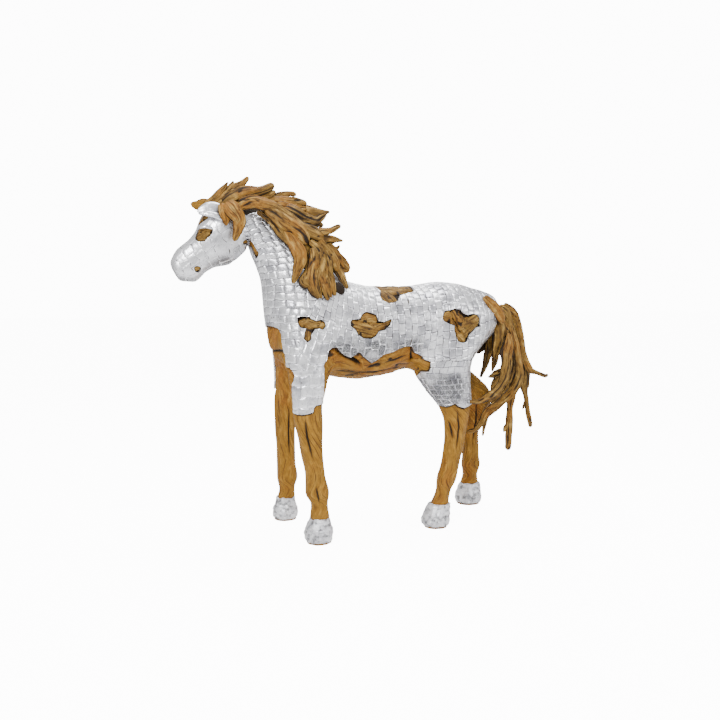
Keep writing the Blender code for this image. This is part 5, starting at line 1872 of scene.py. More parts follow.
MANE: tuple[tuple[Root, ...], ...] = (
    (Root(((-9.6, -0.3, 19.15, 0.45), (-9.15, -0.3, 19.5, 0.45), (-8.7, -0.35, 20, 0.35),
        (-8.3, -0.4, 20.5, 0.1))),),
    (Root(((-9.25, -0.3, 19.1, 0.55), (-8.7, -0.35, 19.55, 0.7), (-8.1, -0.35, 20.05, 0.6),
        (-7.6, -0.3, 20.4, 0.4), (-7.15, -0.3, 20.85, 0.2))),),
    (Root(((-8.75, 0.2, 19.45, 0.5), (-8.4, 0.35, 20, 0.35), (-8.1, 0.4, 20.35, 0.3),
        (-7.9, 0.4, 20.7, 0.1))),),
    (Root(((-8.85, -0.4, 19.2, 0.5), (-8.35, -0.55, 19.55, 0.75), (-7.8, -0.6, 19.85, 0.75),
        (-7.25, -0.5, 20, 0.7), (-6.6, -0.4, 20.1, 0.55), (-6.1, -0.3, 20.3, 0.5),
        (-5.7, -0.3, 20.5, 0.45))), Root(((-6.65, -0.3, 19.8, 0.55), (-6.05, -0.2, 19.9, 0.45),
        (-5.6, -0.2, 20.15, 0.2)))),
    (Root(((-8.2, -0.8, 19.3, 0.2), (-7.85, -0.9, 19.15, 0.5), (-7.5, -1, 19.25, 0.75),
        (-7.05, -1.1, 19.35, 0.8), (-6.55, -1.15, 19.3, 0.8), (-6.1, -1.25, 19.15, 0.7),
        (-5.55, -1.35, 18.85, 0.6), (-4.9, -1.35, 18.45, 0.6), (-4.3, -1.35, 18.05, 0.75),
        (-3.65, -1.3, 17.75, 0.85), (-3, -1.1, 17.55, 0.7)), tone=0.6), Root(((-3.45, -1.1, 17.8, 0.55),
        (-2.65, -1, 17.9, 0.4), (-2.25, -1, 18.1, 0.35), (-1.95, -1, 18.25, 0.3))),
        Root(((-3.35, -1.1, 17.45, 0.6), (-2.5, -1, 17.45, 0.45), (-1.8, -1, 17.35, 0.1))),
        Root(((-6.5, -0.9, 19.1, 0.5), (-5.65, -1, 18.35, 0.85), (-4.6, -1.1, 17.4, 1.25),
        (-3.6, -1.1, 16.4, 1.5), (-2.8, -1.1, 15.35, 1.1)), 0.5, -0.15)),
    (Root(((-6.35, -0.1, 19.55, 0.45), (-5.65, 0, 19.9, 0.4), (-5.05, 0, 20.05, 0.3),
        (-4.55, 0, 20.05, 0.3), (-4.35, 0, 19.95, 0.2))),),
    (Root(((-6.15, -0.2, 19.5, 0.55), (-5.3, -0.2, 19.6, 0.6), (-4.65, -0.2, 19.6, 0.7),
        (-4.1, -0.2, 19.55, 0.5), (-3.75, -0.2, 19.5, 0.2))), Root(((-5.65, -0.4, 19.35, 0.55),
        (-4.8, -0.4, 19.2, 0.6), (-4.1, -0.3, 19.2, 0.45), (-3.75, -0.2, 19.25, 0.15)))),
    (Root(((-5.15, -0.1, 19, 0.55), (-4.25, -0.1, 19.1, 0.7), (-3.55, -0.1, 19.05, 0.7),
        (-2.9, -0.1, 19, 0.45), (-2.35, -0.1, 19.1, 0.1))),),
    (Root(((-4.2, 0.2, 18.45, 0.55), (-3.45, 0.2, 18.5, 0.5), (-3, 0.2, 18.4, 0.35),
        (-2.65, 0.2, 18.3, 0.2))),),
    (Root(((-5.2, -0.6, 19.2, 0.55), (-4.55, -0.75, 18.85, 0.8), (-3.95, -0.75, 18.55, 0.8),
        (-3.35, -0.6, 18.5, 0.6), (-3, -0.5, 18.7, 0.45), (-2.65, -0.5, 18.95, 0.15))),),
    (Root(((-4.15, -1.1, 17.5, 0.55), (-3.45, -1, 17.3, 0.7), (-2.65, -0.8, 17.35, 0.5),
        (-2, -0.7, 17.45, 0.2))),),
    (Root(((-4.1, -0.9, 17, 0.55), (-3.45, -0.8, 16.8, 0.75), (-2.8, -0.6, 16.85, 0.7),
        (-2.3, -0.4, 16.95, 0.45), (-2, -0.3, 16.95, 0.25), (-1.8, -0.3, 17.15, 0.1))),),
    (Root(((-3, -0.2, 16.5, 0.7), (-2.15, -0.1, 16.3, 0.8), (-1.5, 0, 16.05, 0.6), (-1.1, 0, 15.7, 0.2))),
        Root(((-2.5, -0.2, 16.75, 0.45), (-1.8, -0.1, 16.5, 0.35), (-1.25, 0, 16.15, 0.15))),
        Root(((-2.25, -0.1, 15.8, 0.6), (-1.5, 0, 15.7, 0.4), (-1.1, 0, 15.65, 0.15)))),
    (Root(((-6.35, -1.2, 19.05, 0.5), (-5.85, -1.4, 18.6, 0.85), (-5.2, -1.5, 18.05, 1),
        (-4.5, -1.5, 17.6, 0.9), (-4, -1.5, 17.1, 0.5))), Root(((-5.45, -1.6, 17.9, 0.35),
        (-5, -1.8, 17.2, 0.75), (-4.7, -2, 16.6, 0.9), (-4.65, -2.1, 16.1, 0.75),
        (-4.8, -2.15, 15.65, 0.55), (-4.95, -2.2, 15.25, 0.4), (-5.1, -2.2, 14.85, 0.2)), 0.4, 0.85, 0.35),
        Root(((-6.85, -1.2, 18.85, 0.25), (-6.15, -1.4, 18.3, 0.35), (-5.65, -1.6, 17.7, 0.5),
        (-5.15, -1.8, 17, 0.35), (-4.95, -1.9, 16.35, 0.2)), tone=-0.2)),
    (Root(((-3.8, -1.7, 16.9, 0.5), (-3.8, -1.9, 16.1, 0.55), (-3.95, -2, 15.45, 0.55),
        (-4, -2.1, 14.9, 0.6), (-3.85, -2.2, 14.4, 0.5), (-3.6, -2.3, 14, 0.2))),
        Root(((-3.5, -1.6, 16.75, 0.45), (-3.5, -1.8, 16, 0.45), (-3.7, -2, 15.25, 0.45),
        (-3.65, -2.2, 14.55, 0.35), (-3.45, -2.3, 14, 0.1)))),
    (Root(((-3.95, -1.5, 17.3, 0.45), (-3.4, -1.6, 16.75, 0.55), (-3.3, -1.75, 16.1, 0.55),
        (-3.4, -1.9, 15.45, 0.5), (-3.3, -2.05, 14.9, 0.5), (-3.2, -2.2, 14.4, 0.45),
        (-3.1, -2.3, 13.9, 0.2))),),
    (Root(((-3.05, -1.3, 16.85, 0.55), (-2.85, -1.5, 16.05, 0.6), (-2.8, -1.65, 15.3, 0.55),
        (-2.7, -1.9, 14.65, 0.45), (-2.6, -2, 14.15, 0.2))), Root(((-3.4, -1.3, 17.35, 0.45),
        (-2.85, -1.3, 16.8, 0.5), (-2.45, -1.3, 16.1, 0.5), (-2.25, -1.3, 15.55, 0.25))),
        Root(((-3.15, -1.65, 16.1, 0.3), (-3.1, -1.85, 15.3, 0.35), (-2.95, -2, 14.6, 0.3),
        (-2.85, -2.1, 14.05, 0.1)))),
    # The middle root of this lock is near black: a dark piece that stands in for the shade in a hollow of the
    # mane
    (Root(((-2.5, -0.9, 16.45, 0.55), (-2.2, -1.1, 15.7, 0.6), (-2, -1.3, 15.2, 0.5),
        (-1.85, -1.5, 14.85, 0.3), (-1.75, -1.6, 14.55, 0.2))), Root(((-2.5, -1.7, 14.9, 0.35),
        (-2.25, -1.8, 14.55, 0.55), (-2.1, -1.85, 14.2, 0.3)), tone=-1), Root(((-2.85, -1, 17.2, 0.45),
        (-2.3, -1, 16.7, 0.5), (-2, -1, 16.2, 0.35), (-1.75, -1, 15.8, 0.1)))),
    (Root(((-4.05, -1.7, 16.25, 0.35), (-4.15, -1.9, 15.55, 0.35), (-4.45, -2.1, 15, 0.55),
        (-4.15, -2.25, 14.65, 0.55))),),
    (Root(((-8, 0.4, 19.1, 0.9), (-7.1, 0.9, 19.5, 1), (-6.2, 1.15, 19.2, 1), (-5.4, 1.25, 18.3, 0.3))),
        Root(((-7.2, 0.8, 19.2, 0.5), (-6.3, 1.2, 18.8, 0.5), (-5.9, 1.4, 18, 0.1)))),
    (Root(((-6.5, 0.6, 18.6, 0.9), (-5.6, 1.2, 18.2, 1), (-4.7, 1.55, 17.3, 0.9), (-4.4, 1.9, 15.9, 0.3))),
        Root(((-5.4, 1, 18.2, 0.6), (-4.2, 1.3, 17.6, 0.6), (-3.9, 1.7, 16.4, 0.1)))),
    (Root(((-5, 0.7, 17.8, 0.9), (-4.1, 1.4, 17.3, 1), (-3.65, 1.8, 16.4, 0.9), (-3.7, 2.2, 15, 0.3))),
        Root(((-4.4, 1.2, 16.8, 0.5), (-4.2, 1.8, 15.9, 0.5), (-4.4, 2.1, 14.9, 0.1)))),
    (Root(((-3.9, 0.8, 16.8, 0.8), (-3.2, 1.4, 16.3, 0.9), (-2.9, 1.9, 15.4, 0.8), (-2.9, 2.2, 14.3, 0.3))),
        Root(((-3.4, 1.2, 16, 0.5), (-3.3, 1.9, 15.2, 0.5), (-3.5, 2.2, 14.4, 0.1)))),
    (Root(((-3, 0.5, 16, 0.8), (-2.3, 0.9, 15.9, 0.9), (-1.85, 1.3, 15.2, 0.7), (-1.8, 1.6, 14.6, 0.3))),
        Root(((-2.6, 0.8, 15.8, 0.5), (-2.3, 1.4, 15.1, 0.5), (-2.4, 1.8, 14.4, 0.1)))),
    (Root(((-8.75, -1.1, 19.25, 0.5), (-8.7, -1.25, 18.75, 0.55), (-8.6, -1.3, 18.35, 0.45),
        (-8.6, -1.35, 18, 0.1)), 0.35, 0.85, 0.3),),
    (Root(((-8.55, -1.1, 19.3, 0.8), (-8.2, -1.25, 18.85, 1), (-7.9, -1.4, 18.35, 0.8),
        (-7.95, -1.45, 17.85, 0.6), (-8.2, -1.5, 17.15, 0.25)), 0.35, 0.85, 0.3),),
)
TAIL: tuple[tuple[Root, ...], ...] = (
    (Root(((7, -1.7, 14.1, 0.45), (7.3, -1.85, 13.8, 0.6), (7.65, -1.9, 13.45, 0.75),
        (8.15, -1.7, 12.95, 0.8), (8.65, -1.35, 12.5, 0.6)), 0.45, 0.8, 0.5),),
    (Root(((8.8, -0.4, 13.55, 0.5), (9.25, -0.7, 13.05, 0.6), (9.45, -0.85, 12.2, 0.55),
        (9.65, -0.95, 11.45, 0.5), (9.8, -1, 10.7, 0.5), (9.95, -1, 9.65, 0.6), (10.05, -0.9, 8.85, 0.7),
        (9.75, -0.8, 8.1, 0.65), (9.2, -0.7, 7.55, 0.6), (8.65, -0.6, 7.05, 0.5), (8, -0.6, 6.6, 0.5),
        (7.6, -0.6, 6, 0.4), (7.1, -0.8, 5.6, 0.3), (6.35, -0.9, 5.5, 0.2))),),
    (Root(((9.5, 0.3, 13.55, 0.45), (10.25, 0.45, 13.15, 0.5), (10.65, 0.5, 12.35, 0.55),
        (10.95, 0.5, 11.55, 0.5), (11.15, 0.5, 10.5, 0.5), (11.4, 0.5, 9.7, 0.5), (11.75, 0.5, 9.15, 0.45),
        (12.25, 0.4, 8.95, 0.3), (12.8, 0.3, 8.75, 0.25), (13.05, 0.3, 8.85, 0.2))),
        Root(((10.55, 0.5, 12.55, 0.25), (10.9, 0.5, 12.15, 0.2), (11.1, 0.5, 11.7, 0.05))),
        Root(((11.2, 0.5, 10.3, 0.2), (11.4, 0.5, 10.05, 0.15), (11.65, 0.5, 9.85, 0.05)))),
    (Root(((11.05, 0.75, 10.65, 0.45), (11.35, 0.85, 9.8, 0.55), (11.65, 1, 8.85, 0.75),
        (11.65, 1, 8.1, 0.6), (11.75, 0.95, 7.35, 0.35), (11.85, 0.8, 6.3, 0.35), (11.95, 0.7, 5.7, 0.35),
        (11.95, 0.6, 5.2, 0.3))), Root(((11.85, 1, 8.55, 0.25), (11.95, 1, 8.2, 0.2), (12, 1, 7.9, 0.1))),
        Root(((11.7, 0.9, 7.05, 0.2), (11.6, 0.9, 6.7, 0.2), (11.5, 0.9, 6.4, 0.05)))),
    (Root(((9.95, -0.85, 9.3, 0.35), (10.15, -0.4, 8.8, 0.5), (10.35, 0.1, 8.2, 0.55),
        (10.15, 0.15, 7.45, 0.55), (10.05, 0.15, 6.6, 0.35), (10.05, 0.15, 5.75, 0.5),
        (10.05, 0.15, 5, 0.55), (10.05, 0.15, 4.4, 0.5), (10, 0.15, 3.85, 0.4))),
        Root(((10, 0.15, 5.7, 0.3), (9.75, 0.15, 5.4, 0.3), (9.65, 0.15, 5.1, 0.1)))),
    (Root(((8.25, -0.7, 13, 0.5), (8.45, -1, 12.25, 1), (8.45, -1.1, 11.5, 0.85), (8.35, -1.05, 10.7, 0.7),
        (8.25, -1, 10.15, 0.2)), tone=0.2), Root(((8.65, -0.9, 12.8, 0.35), (8.95, -0.95, 12.15, 0.5),
        (9.2, -0.95, 11.5, 0.3)), tone=0.3), Root(((8.8, -0.7, 12.2, 0.6), (9, -0.7, 11.55, 0.6),
        (9, -0.7, 10.95, 0.55), (8.8, -0.7, 10.3, 0.25)), tone=-0.15)),
    (Root(((8.45, -0.2, 12.6, 0.5), (8.2, -0.4, 11.55, 0.6), (8.05, -0.5, 10.7, 0.55),
        (7.9, -0.5, 9.9, 0.45), (7.55, -0.45, 8.9, 0.15)), tone=-0.1), Root(((8.5, -0.4, 11, 0.55),
        (8.6, -0.4, 10.25, 0.5), (8.4, -0.4, 9.25, 0.1)), tone=0.1), Root(((8.55, 0, 11.8, 0.7),
        (8.15, 0.1, 11.1, 0.7), (7.55, 0.1, 10.4, 0.2)), tone=-0.5)),
    (Root(((9.05, -1.3, 11.8, 0.2), (8.9, -1.5, 11.1, 0.6), (8.7, -1.65, 10.45, 0.8),
        (8.65, -1.75, 9.75, 0.8), (8.5, -1.8, 9.05, 0.7), (8.1, -1.9, 8.5, 0.55), (7.45, -2.1, 8.05, 0.55),
        (6.5, -2.5, 7.75, 0.35), (5.5, -3, 7.8, 0.2))),),
    (Root(((8.75, -1.5, 9.75, 0.35), (8.85, -0.9, 9.35, 0.5), (8.65, -0.5, 9.1, 0.5),
        (8.15, -0.3, 8.9, 0.1)), tone=-0.15), Root(((8.7, -1.4, 9.45, 0.35), (8.75, -0.8, 9, 0.55),
        (8.6, -0.5, 8.5, 0.55), (8.5, -0.3, 7.9, 0.2)), tone=-0.1)),
    (Root(((9.3, 0.6, 13.2, 0.35), (10.15, 0.9, 12.4, 0.5), (10.75, 1.1, 11.15, 0.5),
        (10.9, 1.1, 9.65, 0.55), (10.55, 1.05, 8.45, 0.55), (9.9, 1, 7.55, 0.5), (9.2, 1, 6.75, 0.45),
        (8.75, 0.95, 5.95, 0.35), (8.5, 0.9, 4.75, 0.15)), tone=0.3), Root(((9.95, 0.9, 8.25, 0.35),
        (9.45, 0.9, 7.55, 0.55), (8.85, 0.9, 7.05, 0.35))), Root(((8.3, 0, 13.3, 0.8),
        (8.9, 0.1, 13.2, 0.75), (9.5, 0.45, 12.8, 0.4)), tone=0.2)),
)
# The leaf is left dull as painted shade, and the thin ridge along its lower edge is bright as a painted
# highlight
NEAR_EAR = (Root(((-8.65, -0.85, 18.55, 0.55), (-9, -0.85, 18.9, 0.8), (-9.4, -0.85, 18.95, 0.75),
    (-9.8, -0.9, 18.85, 0.5), (-10.1, -0.9, 18.75, 0.1)), 0.4, 0, 0.5), Root(((-8.7, -1.15, 18.35, 0.25),
    (-9.1, -1.2, 18.55, 0.3), (-9.6, -1.15, 18.65, 0.3), (-10.05, -1, 18.65, 0.15)), 0.5, 1, 0.5),)
FAR_EAR = (Root(((-9.15, 0.7, 19.4, 0.5), (-9.6, 0.75, 19.35, 0.7), (-9.95, 0.8, 19.3, 0.55),
    (-10.3, 0.85, 19.4, 0.2)), 0.5, 0.6, 0.35),)
BROW = (Root(((-9.2, -0.95, 17.85, 0.15), (-9.65, -0.95, 17.95, 0.2), (-10, -0.8, 17.9, 0.15)),
    0.8, rough=0.3),)


@dataclass
class ManeAndTail:
    """The pieces of root that stand for the mane, the tail and the ears."""

    mane: tuple[tuple[Root, ...], ...] = MANE
    tail: tuple[tuple[Root, ...], ...] = TAIL

    def build(self, wood: Material, body: Material, metal: Material) -> None:
        """Makes every piece, each for its own solid.

        Args:
            wood: The material of the mane and the tail.
            body: That of the wooden ear.
            metal: That of the ear and brow of sheet.
        """
        for k, roots in enumerate(self.mane, 1):
            make_roots(f"mane_root_{k:02d}", f"mane_lock_{k:02d}", roots, wood, k)
        for k, roots in enumerate(self.tail, 1):
            make_roots(f"tail_strand_{k:02d}", f"tail_root_{k:02d}", roots, wood, 40 + k)
        make_roots("near_ear_leaf", "near_ear", NEAR_EAR, metal, 60)
        make_roots("near_brow_ridge", "metal_cladding", BROW, metal, 63)
        make_roots("far_ear_leaf", "far_ear", FAR_EAR, body, 61)


Colour = tuple[float, float, float, float]
Inputs = dict[str | int, object]


class Nodes:
    """A node tree being wired: each call adds a node with its values and its sources."""

    def __init__(self, tree: bpy.types.NodeTree) -> None:
        """Keeps the tree."""
        self.tree = tree

    def wire(self, node: bpy.types.Node, inputs: Inputs) -> None:
        """Gives a node its values and its sources.

        Args:
            node: The node.
            inputs: A value or a source socket for each named or numbered input.
        """
        for name, value in inputs.items():
            if isinstance(value, Socket):
                self.tree.links.new(value, node.inputs[name])
            else:
                node.inputs[name].default_value = value

    def add(self, kind: str, inputs: Inputs, **options: object) -> bpy.types.Node:
        """Adds a node.

        Args:
            kind: Its type.
            inputs: A value or a source socket for each named or numbered input.
            options: Its own settings.

        Returns:
            The node.
        """
        node = self.tree.nodes.new(kind)
        for name, value in options.items():
            setattr(node, name, value)
        self.wire(node, inputs)
        return node

    def math(self, operation: str, *values: object) -> Socket:
        """A sum, product or other operation on values or sockets."""
        return self.add("ShaderNodeMath", dict(enumerate(values)), operation=operation).outputs[0]

    def times(self, one: object, two: object) -> Socket:
        """The product of two values or sockets."""
        return self.math("MULTIPLY", one, two)

    def rise(self, value: Socket, low: float, high: float, to: tuple[float, float] = (0, 1)) -> Socket:
        """A value mapped softly from one range to another, held at both ends."""
        inputs = {0: value, 1: low, 2: high, 3: to[0], 4: to[1]}
        return self.add("ShaderNodeMapRange", inputs, interpolation_type="SMOOTHSTEP").outputs[0]

    def noise(self, place: Socket, scale: float, detail: float = 2, rough: float = 0.5) -> Socket:
        """The value of a noise at a place."""
        inputs = {"Vector": place, "Scale": scale, "Detail": detail, "Roughness": rough}
        return self.add("ShaderNodeTexNoise", inputs).outputs["Fac"]

    def mix(self, share: object, one: object, two: object) -> Socket:
        """One colour mixed with a share of another."""
        return self.add("ShaderNodeMix", {0: share, 6: one, 7: two}, data_type="RGBA").outputs[2]

    def bump(self, height: Socket, distance: float, **under: Socket) -> Socket:
        """The direction of a surface raised by a height, over that of another if it is given."""
        inputs = {"Height": height, "Distance": distance, "Strength": 1.0, **under}
        return self.add("ShaderNodeBump", inputs).outputs[0]

    def value(self, name: str) -> Socket:
        """A value that the piece carries on its points."""
        return self.add("ShaderNodeAttribute", {}, attribute_name=name).outputs["Fac"]


def group(name: str, values: tuple[str, ...]) -> tuple[Nodes, Socket, Socket]:
    """A node group that takes a place on the flat pattern and one in the solid.

    Args:
        name: What it is called.
        values: The names of what it gives.

    Returns:
        Its nodes, and both places.
    """
    nodes = Nodes(bpy.data.node_groups.new(name, "ShaderNodeTree"))
    for title in ("Place", "Solid"):
        nodes.tree.interface.new_socket(title, in_out="INPUT", socket_type="NodeSocketVector")
    for title in values:
        nodes.tree.interface.new_socket(title, in_out="OUTPUT", socket_type="NodeSocketFloat")
    given = nodes.add("NodeGroupInput", {}).outputs
    return nodes, given["Place"], given["Solid"]


def root_grain() -> bpy.types.NodeTree:
    """Fibres, streaks, specks and mottles that run along the first axis of a place.

    Fibres are noise thirty times as fine across as along. Streaks are wider dark lines of
    the same kind, specks are short ones, and mottles are wide patches.

    Returns:
        The group.
    """
    nodes, place, solid = group("root_grain", ("Fibres", "Streaks", "Specks", "Mottles", "Relief"))
    bent = nodes.add("ShaderNodeTexNoise", {"Vector": solid, "Scale": 6.0, "Detail": 1.0}).outputs["Color"]
    for operation, inputs in (
        ("SUBTRACT", {1: (0.5, 0.5, 0.5)}), ("SCALE", {"Scale": 0.012}), ("ADD", {1: place}),
    ):
        bent = nodes.add("ShaderNodeVectorMath", {0: bent, **inputs}, operation=operation).outputs[0]

    def drawn_out(along: float, across: float, detail: float, rough: float = 0.6) -> Socket:
        """Noise that is as fine along the grain and across it as these say."""
        scaled = nodes.add("ShaderNodeMapping", {"Vector": bent, "Scale": (along, across, 1)})
        return nodes.noise(scaled.outputs[0], 1.0, detail, rough)

    fibres, streaks = drawn_out(9, 260, 4), drawn_out(6, 95, 3)
    specks = nodes.rise(drawn_out(34, 120, 2, 0.5), 0.60, 0.70)
    relief = nodes.math("ADD", nodes.times(fibres, 0.45), nodes.times(streaks, 0.9))
    nodes.add("NodeGroupOutput", {
        "Fibres": fibres, "Streaks": streaks, "Specks": specks, "Mottles": drawn_out(13, 38, 4, 0.62),
        "Relief": nodes.math("SUBTRACT", relief, nodes.times(specks, 0.4)),
    })
    return nodes.tree


def hammer_dents() -> bpy.types.NodeTree:
    """Shallow round dents with a fine crinkle between them, a cloudy tarnish and small pits.

    Returns:
        The group.
    """
    nodes, place, solid = group("hammer_dents", ("Dents", "Crinkle", "Tarnish", "Pits"))
    cells = {"Vector": place, "Scale": 62.0, "Smoothness": 1.0}
    holes = nodes.add("ShaderNodeTexVoronoi", {"Vector": solid, "Scale": 38.0}).outputs["Distance"]
    here = nodes.rise(nodes.noise(solid, 22.0), 0.50, 0.60)
    nodes.add("NodeGroupOutput", {
        "Dents": nodes.add("ShaderNodeTexVoronoi", cells, feature="SMOOTH_F1").outputs["Distance"],
        "Crinkle": nodes.noise(place, 150.0, 3, 0.6), "Tarnish": nodes.noise(solid, 16.0, 3, 0.6),
        "Pits": nodes.times(nodes.rise(holes, 0.24, 0.12), here),
    })
    return nodes.tree


@dataclass(frozen=True)
class Finish:
    """A finish that reads one node group and the values on the piece.

    Attributes:
        name: What the material is called.
    """

    name: str

    def start(self, tree: bpy.types.NodeTree) -> tuple[Material, Nodes, dict[str, Socket], Socket]:
        """Makes the material, and gives the group the flat pattern and the solid's places.

        Args:
            tree: The group.

        Returns:
            The material, its nodes, what the group gives by name, and the solid's places.
        """
        made = bpy.data.materials.new(self.name)
        made.use_nodes = True
        nodes = Nodes(made.node_tree)
        given = nodes.add("ShaderNodeTexCoord", {}).outputs
        places = {"Place": given["UV"], "Solid": given["Object"]}
        pattern = nodes.add("ShaderNodeGroup", places, node_tree=tree)
        return made, nodes, {socket.name: socket for socket in pattern.outputs}, given["Object"]


@dataclass(frozen=True)
class RootWood(Finish):
    """The finish of carved root: ochre, streaked and knotted, with near black shade painted in its cracks and
    dark shade painted under the metal.

    Attributes:
        light: Its colour on high, worn fibres.
        middle: Its main colour.
        dark: Its colour in streaks.
        warm: Its colour where the tone is high.
        crack: Its colour in crevices, as painted shade.
        shade_under_metal: Its colour under the metal, painted shade for the wood seen through the joints and
            at the metal's edges.
        roughness: How matt it is.
        relief: How deep the grain is, in metres.
        mottled: How strong its patches and specks are.
    """

    light: Colour
    middle: Colour
    dark: Colour
    warm: Colour
    crack: Colour = (0.014, 0.007, 0.003, 1)
    shade_under_metal: Colour = (0.050, 0.036, 0.026, 1)
    roughness: float = 0.58
    relief: float = 0.0022
    mottled: float = 0.5

    def make(self, grain: bpy.types.NodeTree) -> Material:
        """Builds the material from the grain group and the values on the piece.

        Args:
            grain: The group.

        Returns:
            The material.
        """
        made, nodes, pattern, solid = self.start(grain)
        fibres, streaks, mottles = pattern["Fibres"], pattern["Streaks"], pattern["Mottles"]
        blotches = nodes.math("SUBTRACT", nodes.noise(solid, 5.0, 3, 0.55), 0.5)
        tone = nodes.math("ADD", nodes.value("tone"), nodes.times(blotches, 1.6))
        base = nodes.mix(nodes.rise(tone, 0.35, 0.95), self.middle, self.warm)
        for mask, low, high, share, colour in (
            (mottles, 0.50, 0.68, 0.4 + self.mottled, self.light),
            (fibres, 0.54, 0.75, 1.0, self.light),
            (fibres, 0.45, 0.28, 0.25 + self.mottled, self.dark),
            (streaks, 0.47, 0.34, 0.85, self.dark),
            (mottles, 0.48, 0.34, self.mottled, self.dark),
        ):
            base = nodes.mix(nodes.rise(mask, low, high, (0, share)), base, colour)
        base = nodes.mix(nodes.times(pattern["Specks"], self.mottled), base, self.dark)
        # Painted shade in crevices, grooves and along the edges of strands
        base = nodes.mix(nodes.rise(nodes.value("crevice"), 0.12, 0.85), base, self.crack)
        raised = nodes.bump(pattern["Relief"], self.relief)
        nodes.wire(made.node_tree.nodes["Principled BSDF"], {
            # Under the metal the wood takes the colour of painted shade
            "Base Color": nodes.mix(nodes.value("cover"), base, self.shade_under_metal),
            "Roughness": nodes.rise(fibres, 0.2, 0.8, (self.roughness + 0.14, self.roughness - 0.12)),
            "Specular IOR Level": 0.2,
            "Normal": nodes.bump(nodes.noise(solid, 95.0, 3, 0.6), 0.0006, Normal=raised),
        })
        return made


@dataclass(frozen=True)
class SheetMetal(Finish):
    """The finish of bright hammered sheet, dull along its joints, with shade painted where its shade value is
    high and in the hollows of its crinkle.

    Attributes:
        bright: Its colour.
        dull: Its colour where it is tarnished.
        joint: Its colour along the joints.
        shadow: Its colour as painted shade: in flecks in the hollows of its crinkle, and where its shade
            value is high.
        roughness: How soft its shine is.
        dents: How deep the hammer marks are, in metres.
        crinkle: How deep the fine crinkle is, in metres.
        metallic: How much of it is metal.
    """

    bright: Colour = (0.94, 0.94, 0.965, 1)
    dull: Colour = (0.56, 0.56, 0.60, 1)
    joint: Colour = (0.20, 0.19, 0.20, 1)
    shadow: Colour = (0.045, 0.045, 0.050, 1)
    roughness: float = 0.33
    dents: float = 0.0012
    crinkle: float = 0.0006
    metallic: float = 0.9

    def make(self, hammer: bpy.types.NodeTree) -> Material:
        """Builds the material from the dents group and the values on the piece.

        Args:
            hammer: The group.

        Returns:
            The material.
        """
        made, nodes, pattern, _ = self.start(hammer)
        crinkle, tarnish = pattern["Crinkle"], pattern["Tarnish"]
        seam, shade = nodes.value("seam"), nodes.value("shade")
        cloud = nodes.math("ADD", nodes.times(nodes.value("tone"), 0.5), tarnish)
        base = nodes.mix(nodes.rise(cloud, 0.88, 0.38), self.bright, self.dull)
        # Painted shade where the shade value is high, held back near the joints so that they stay light, a
        # painted glint on the plates' edges
        folds = nodes.times(shade, nodes.rise(crinkle, 1.00, 0.32))
        folds = nodes.times(folds, nodes.rise(seam, 0.20, 0.42, (1.0, 0.08)))
        base = nodes.mix(folds, base, self.shadow)
        # Painted shade in flecks in the hollows of the crinkle
        base = nodes.mix(nodes.rise(crinkle, 0.41, 0.27, (0, 0.65)), base, self.shadow)
        seam = nodes.times(seam, nodes.rise(tarnish, 0.25, 0.62, (1.0, 0.45)))
        seam = nodes.times(seam, nodes.rise(shade, 0.3, 0.8, (1.0, 0.2)))
        base = nodes.mix(nodes.rise(seam, 0.20, 0.95), base, self.joint)
        rough = nodes.math("ADD", nodes.times(tarnish, 0.22), nodes.times(seam, 0.25))
        dented = nodes.bump(pattern["Dents"], self.dents)
        nodes.wire(made.node_tree.nodes["Principled BSDF"], {
            "Base Color": nodes.mix(nodes.times(pattern["Pits"], nodes.value("pits")), base, self.joint),
            "Metallic": self.metallic,
            "Roughness": nodes.math("ADD", rough, self.roughness - 0.11),
            "Normal": nodes.bump(crinkle, self.crinkle, Normal=dented),
        })
        return made


BODY_WOOD = RootWood(
    "body_root_wood", (0.43, 0.225, 0.034, 1), (0.27, 0.128, 0.012, 1), (0.072, 0.026, 0.004, 1),
    (0.28, 0.100, 0.009, 1), mottled=0.40,
)
MANE_WOOD = RootWood(
    "mane_root_wood", (0.40, 0.240, 0.060, 1), (0.175, 0.092, 0.016, 1), (0.036, 0.015, 0.003, 1),
    (0.27, 0.112, 0.013, 1), roughness=0.62, mottled=0.75,
)
PLATE_METAL = SheetMetal("plate_metal")
HOOF_METAL = SheetMetal("hoof_sheet_metal", roughness=0.36, dents=0.004, crinkle=0.0034)


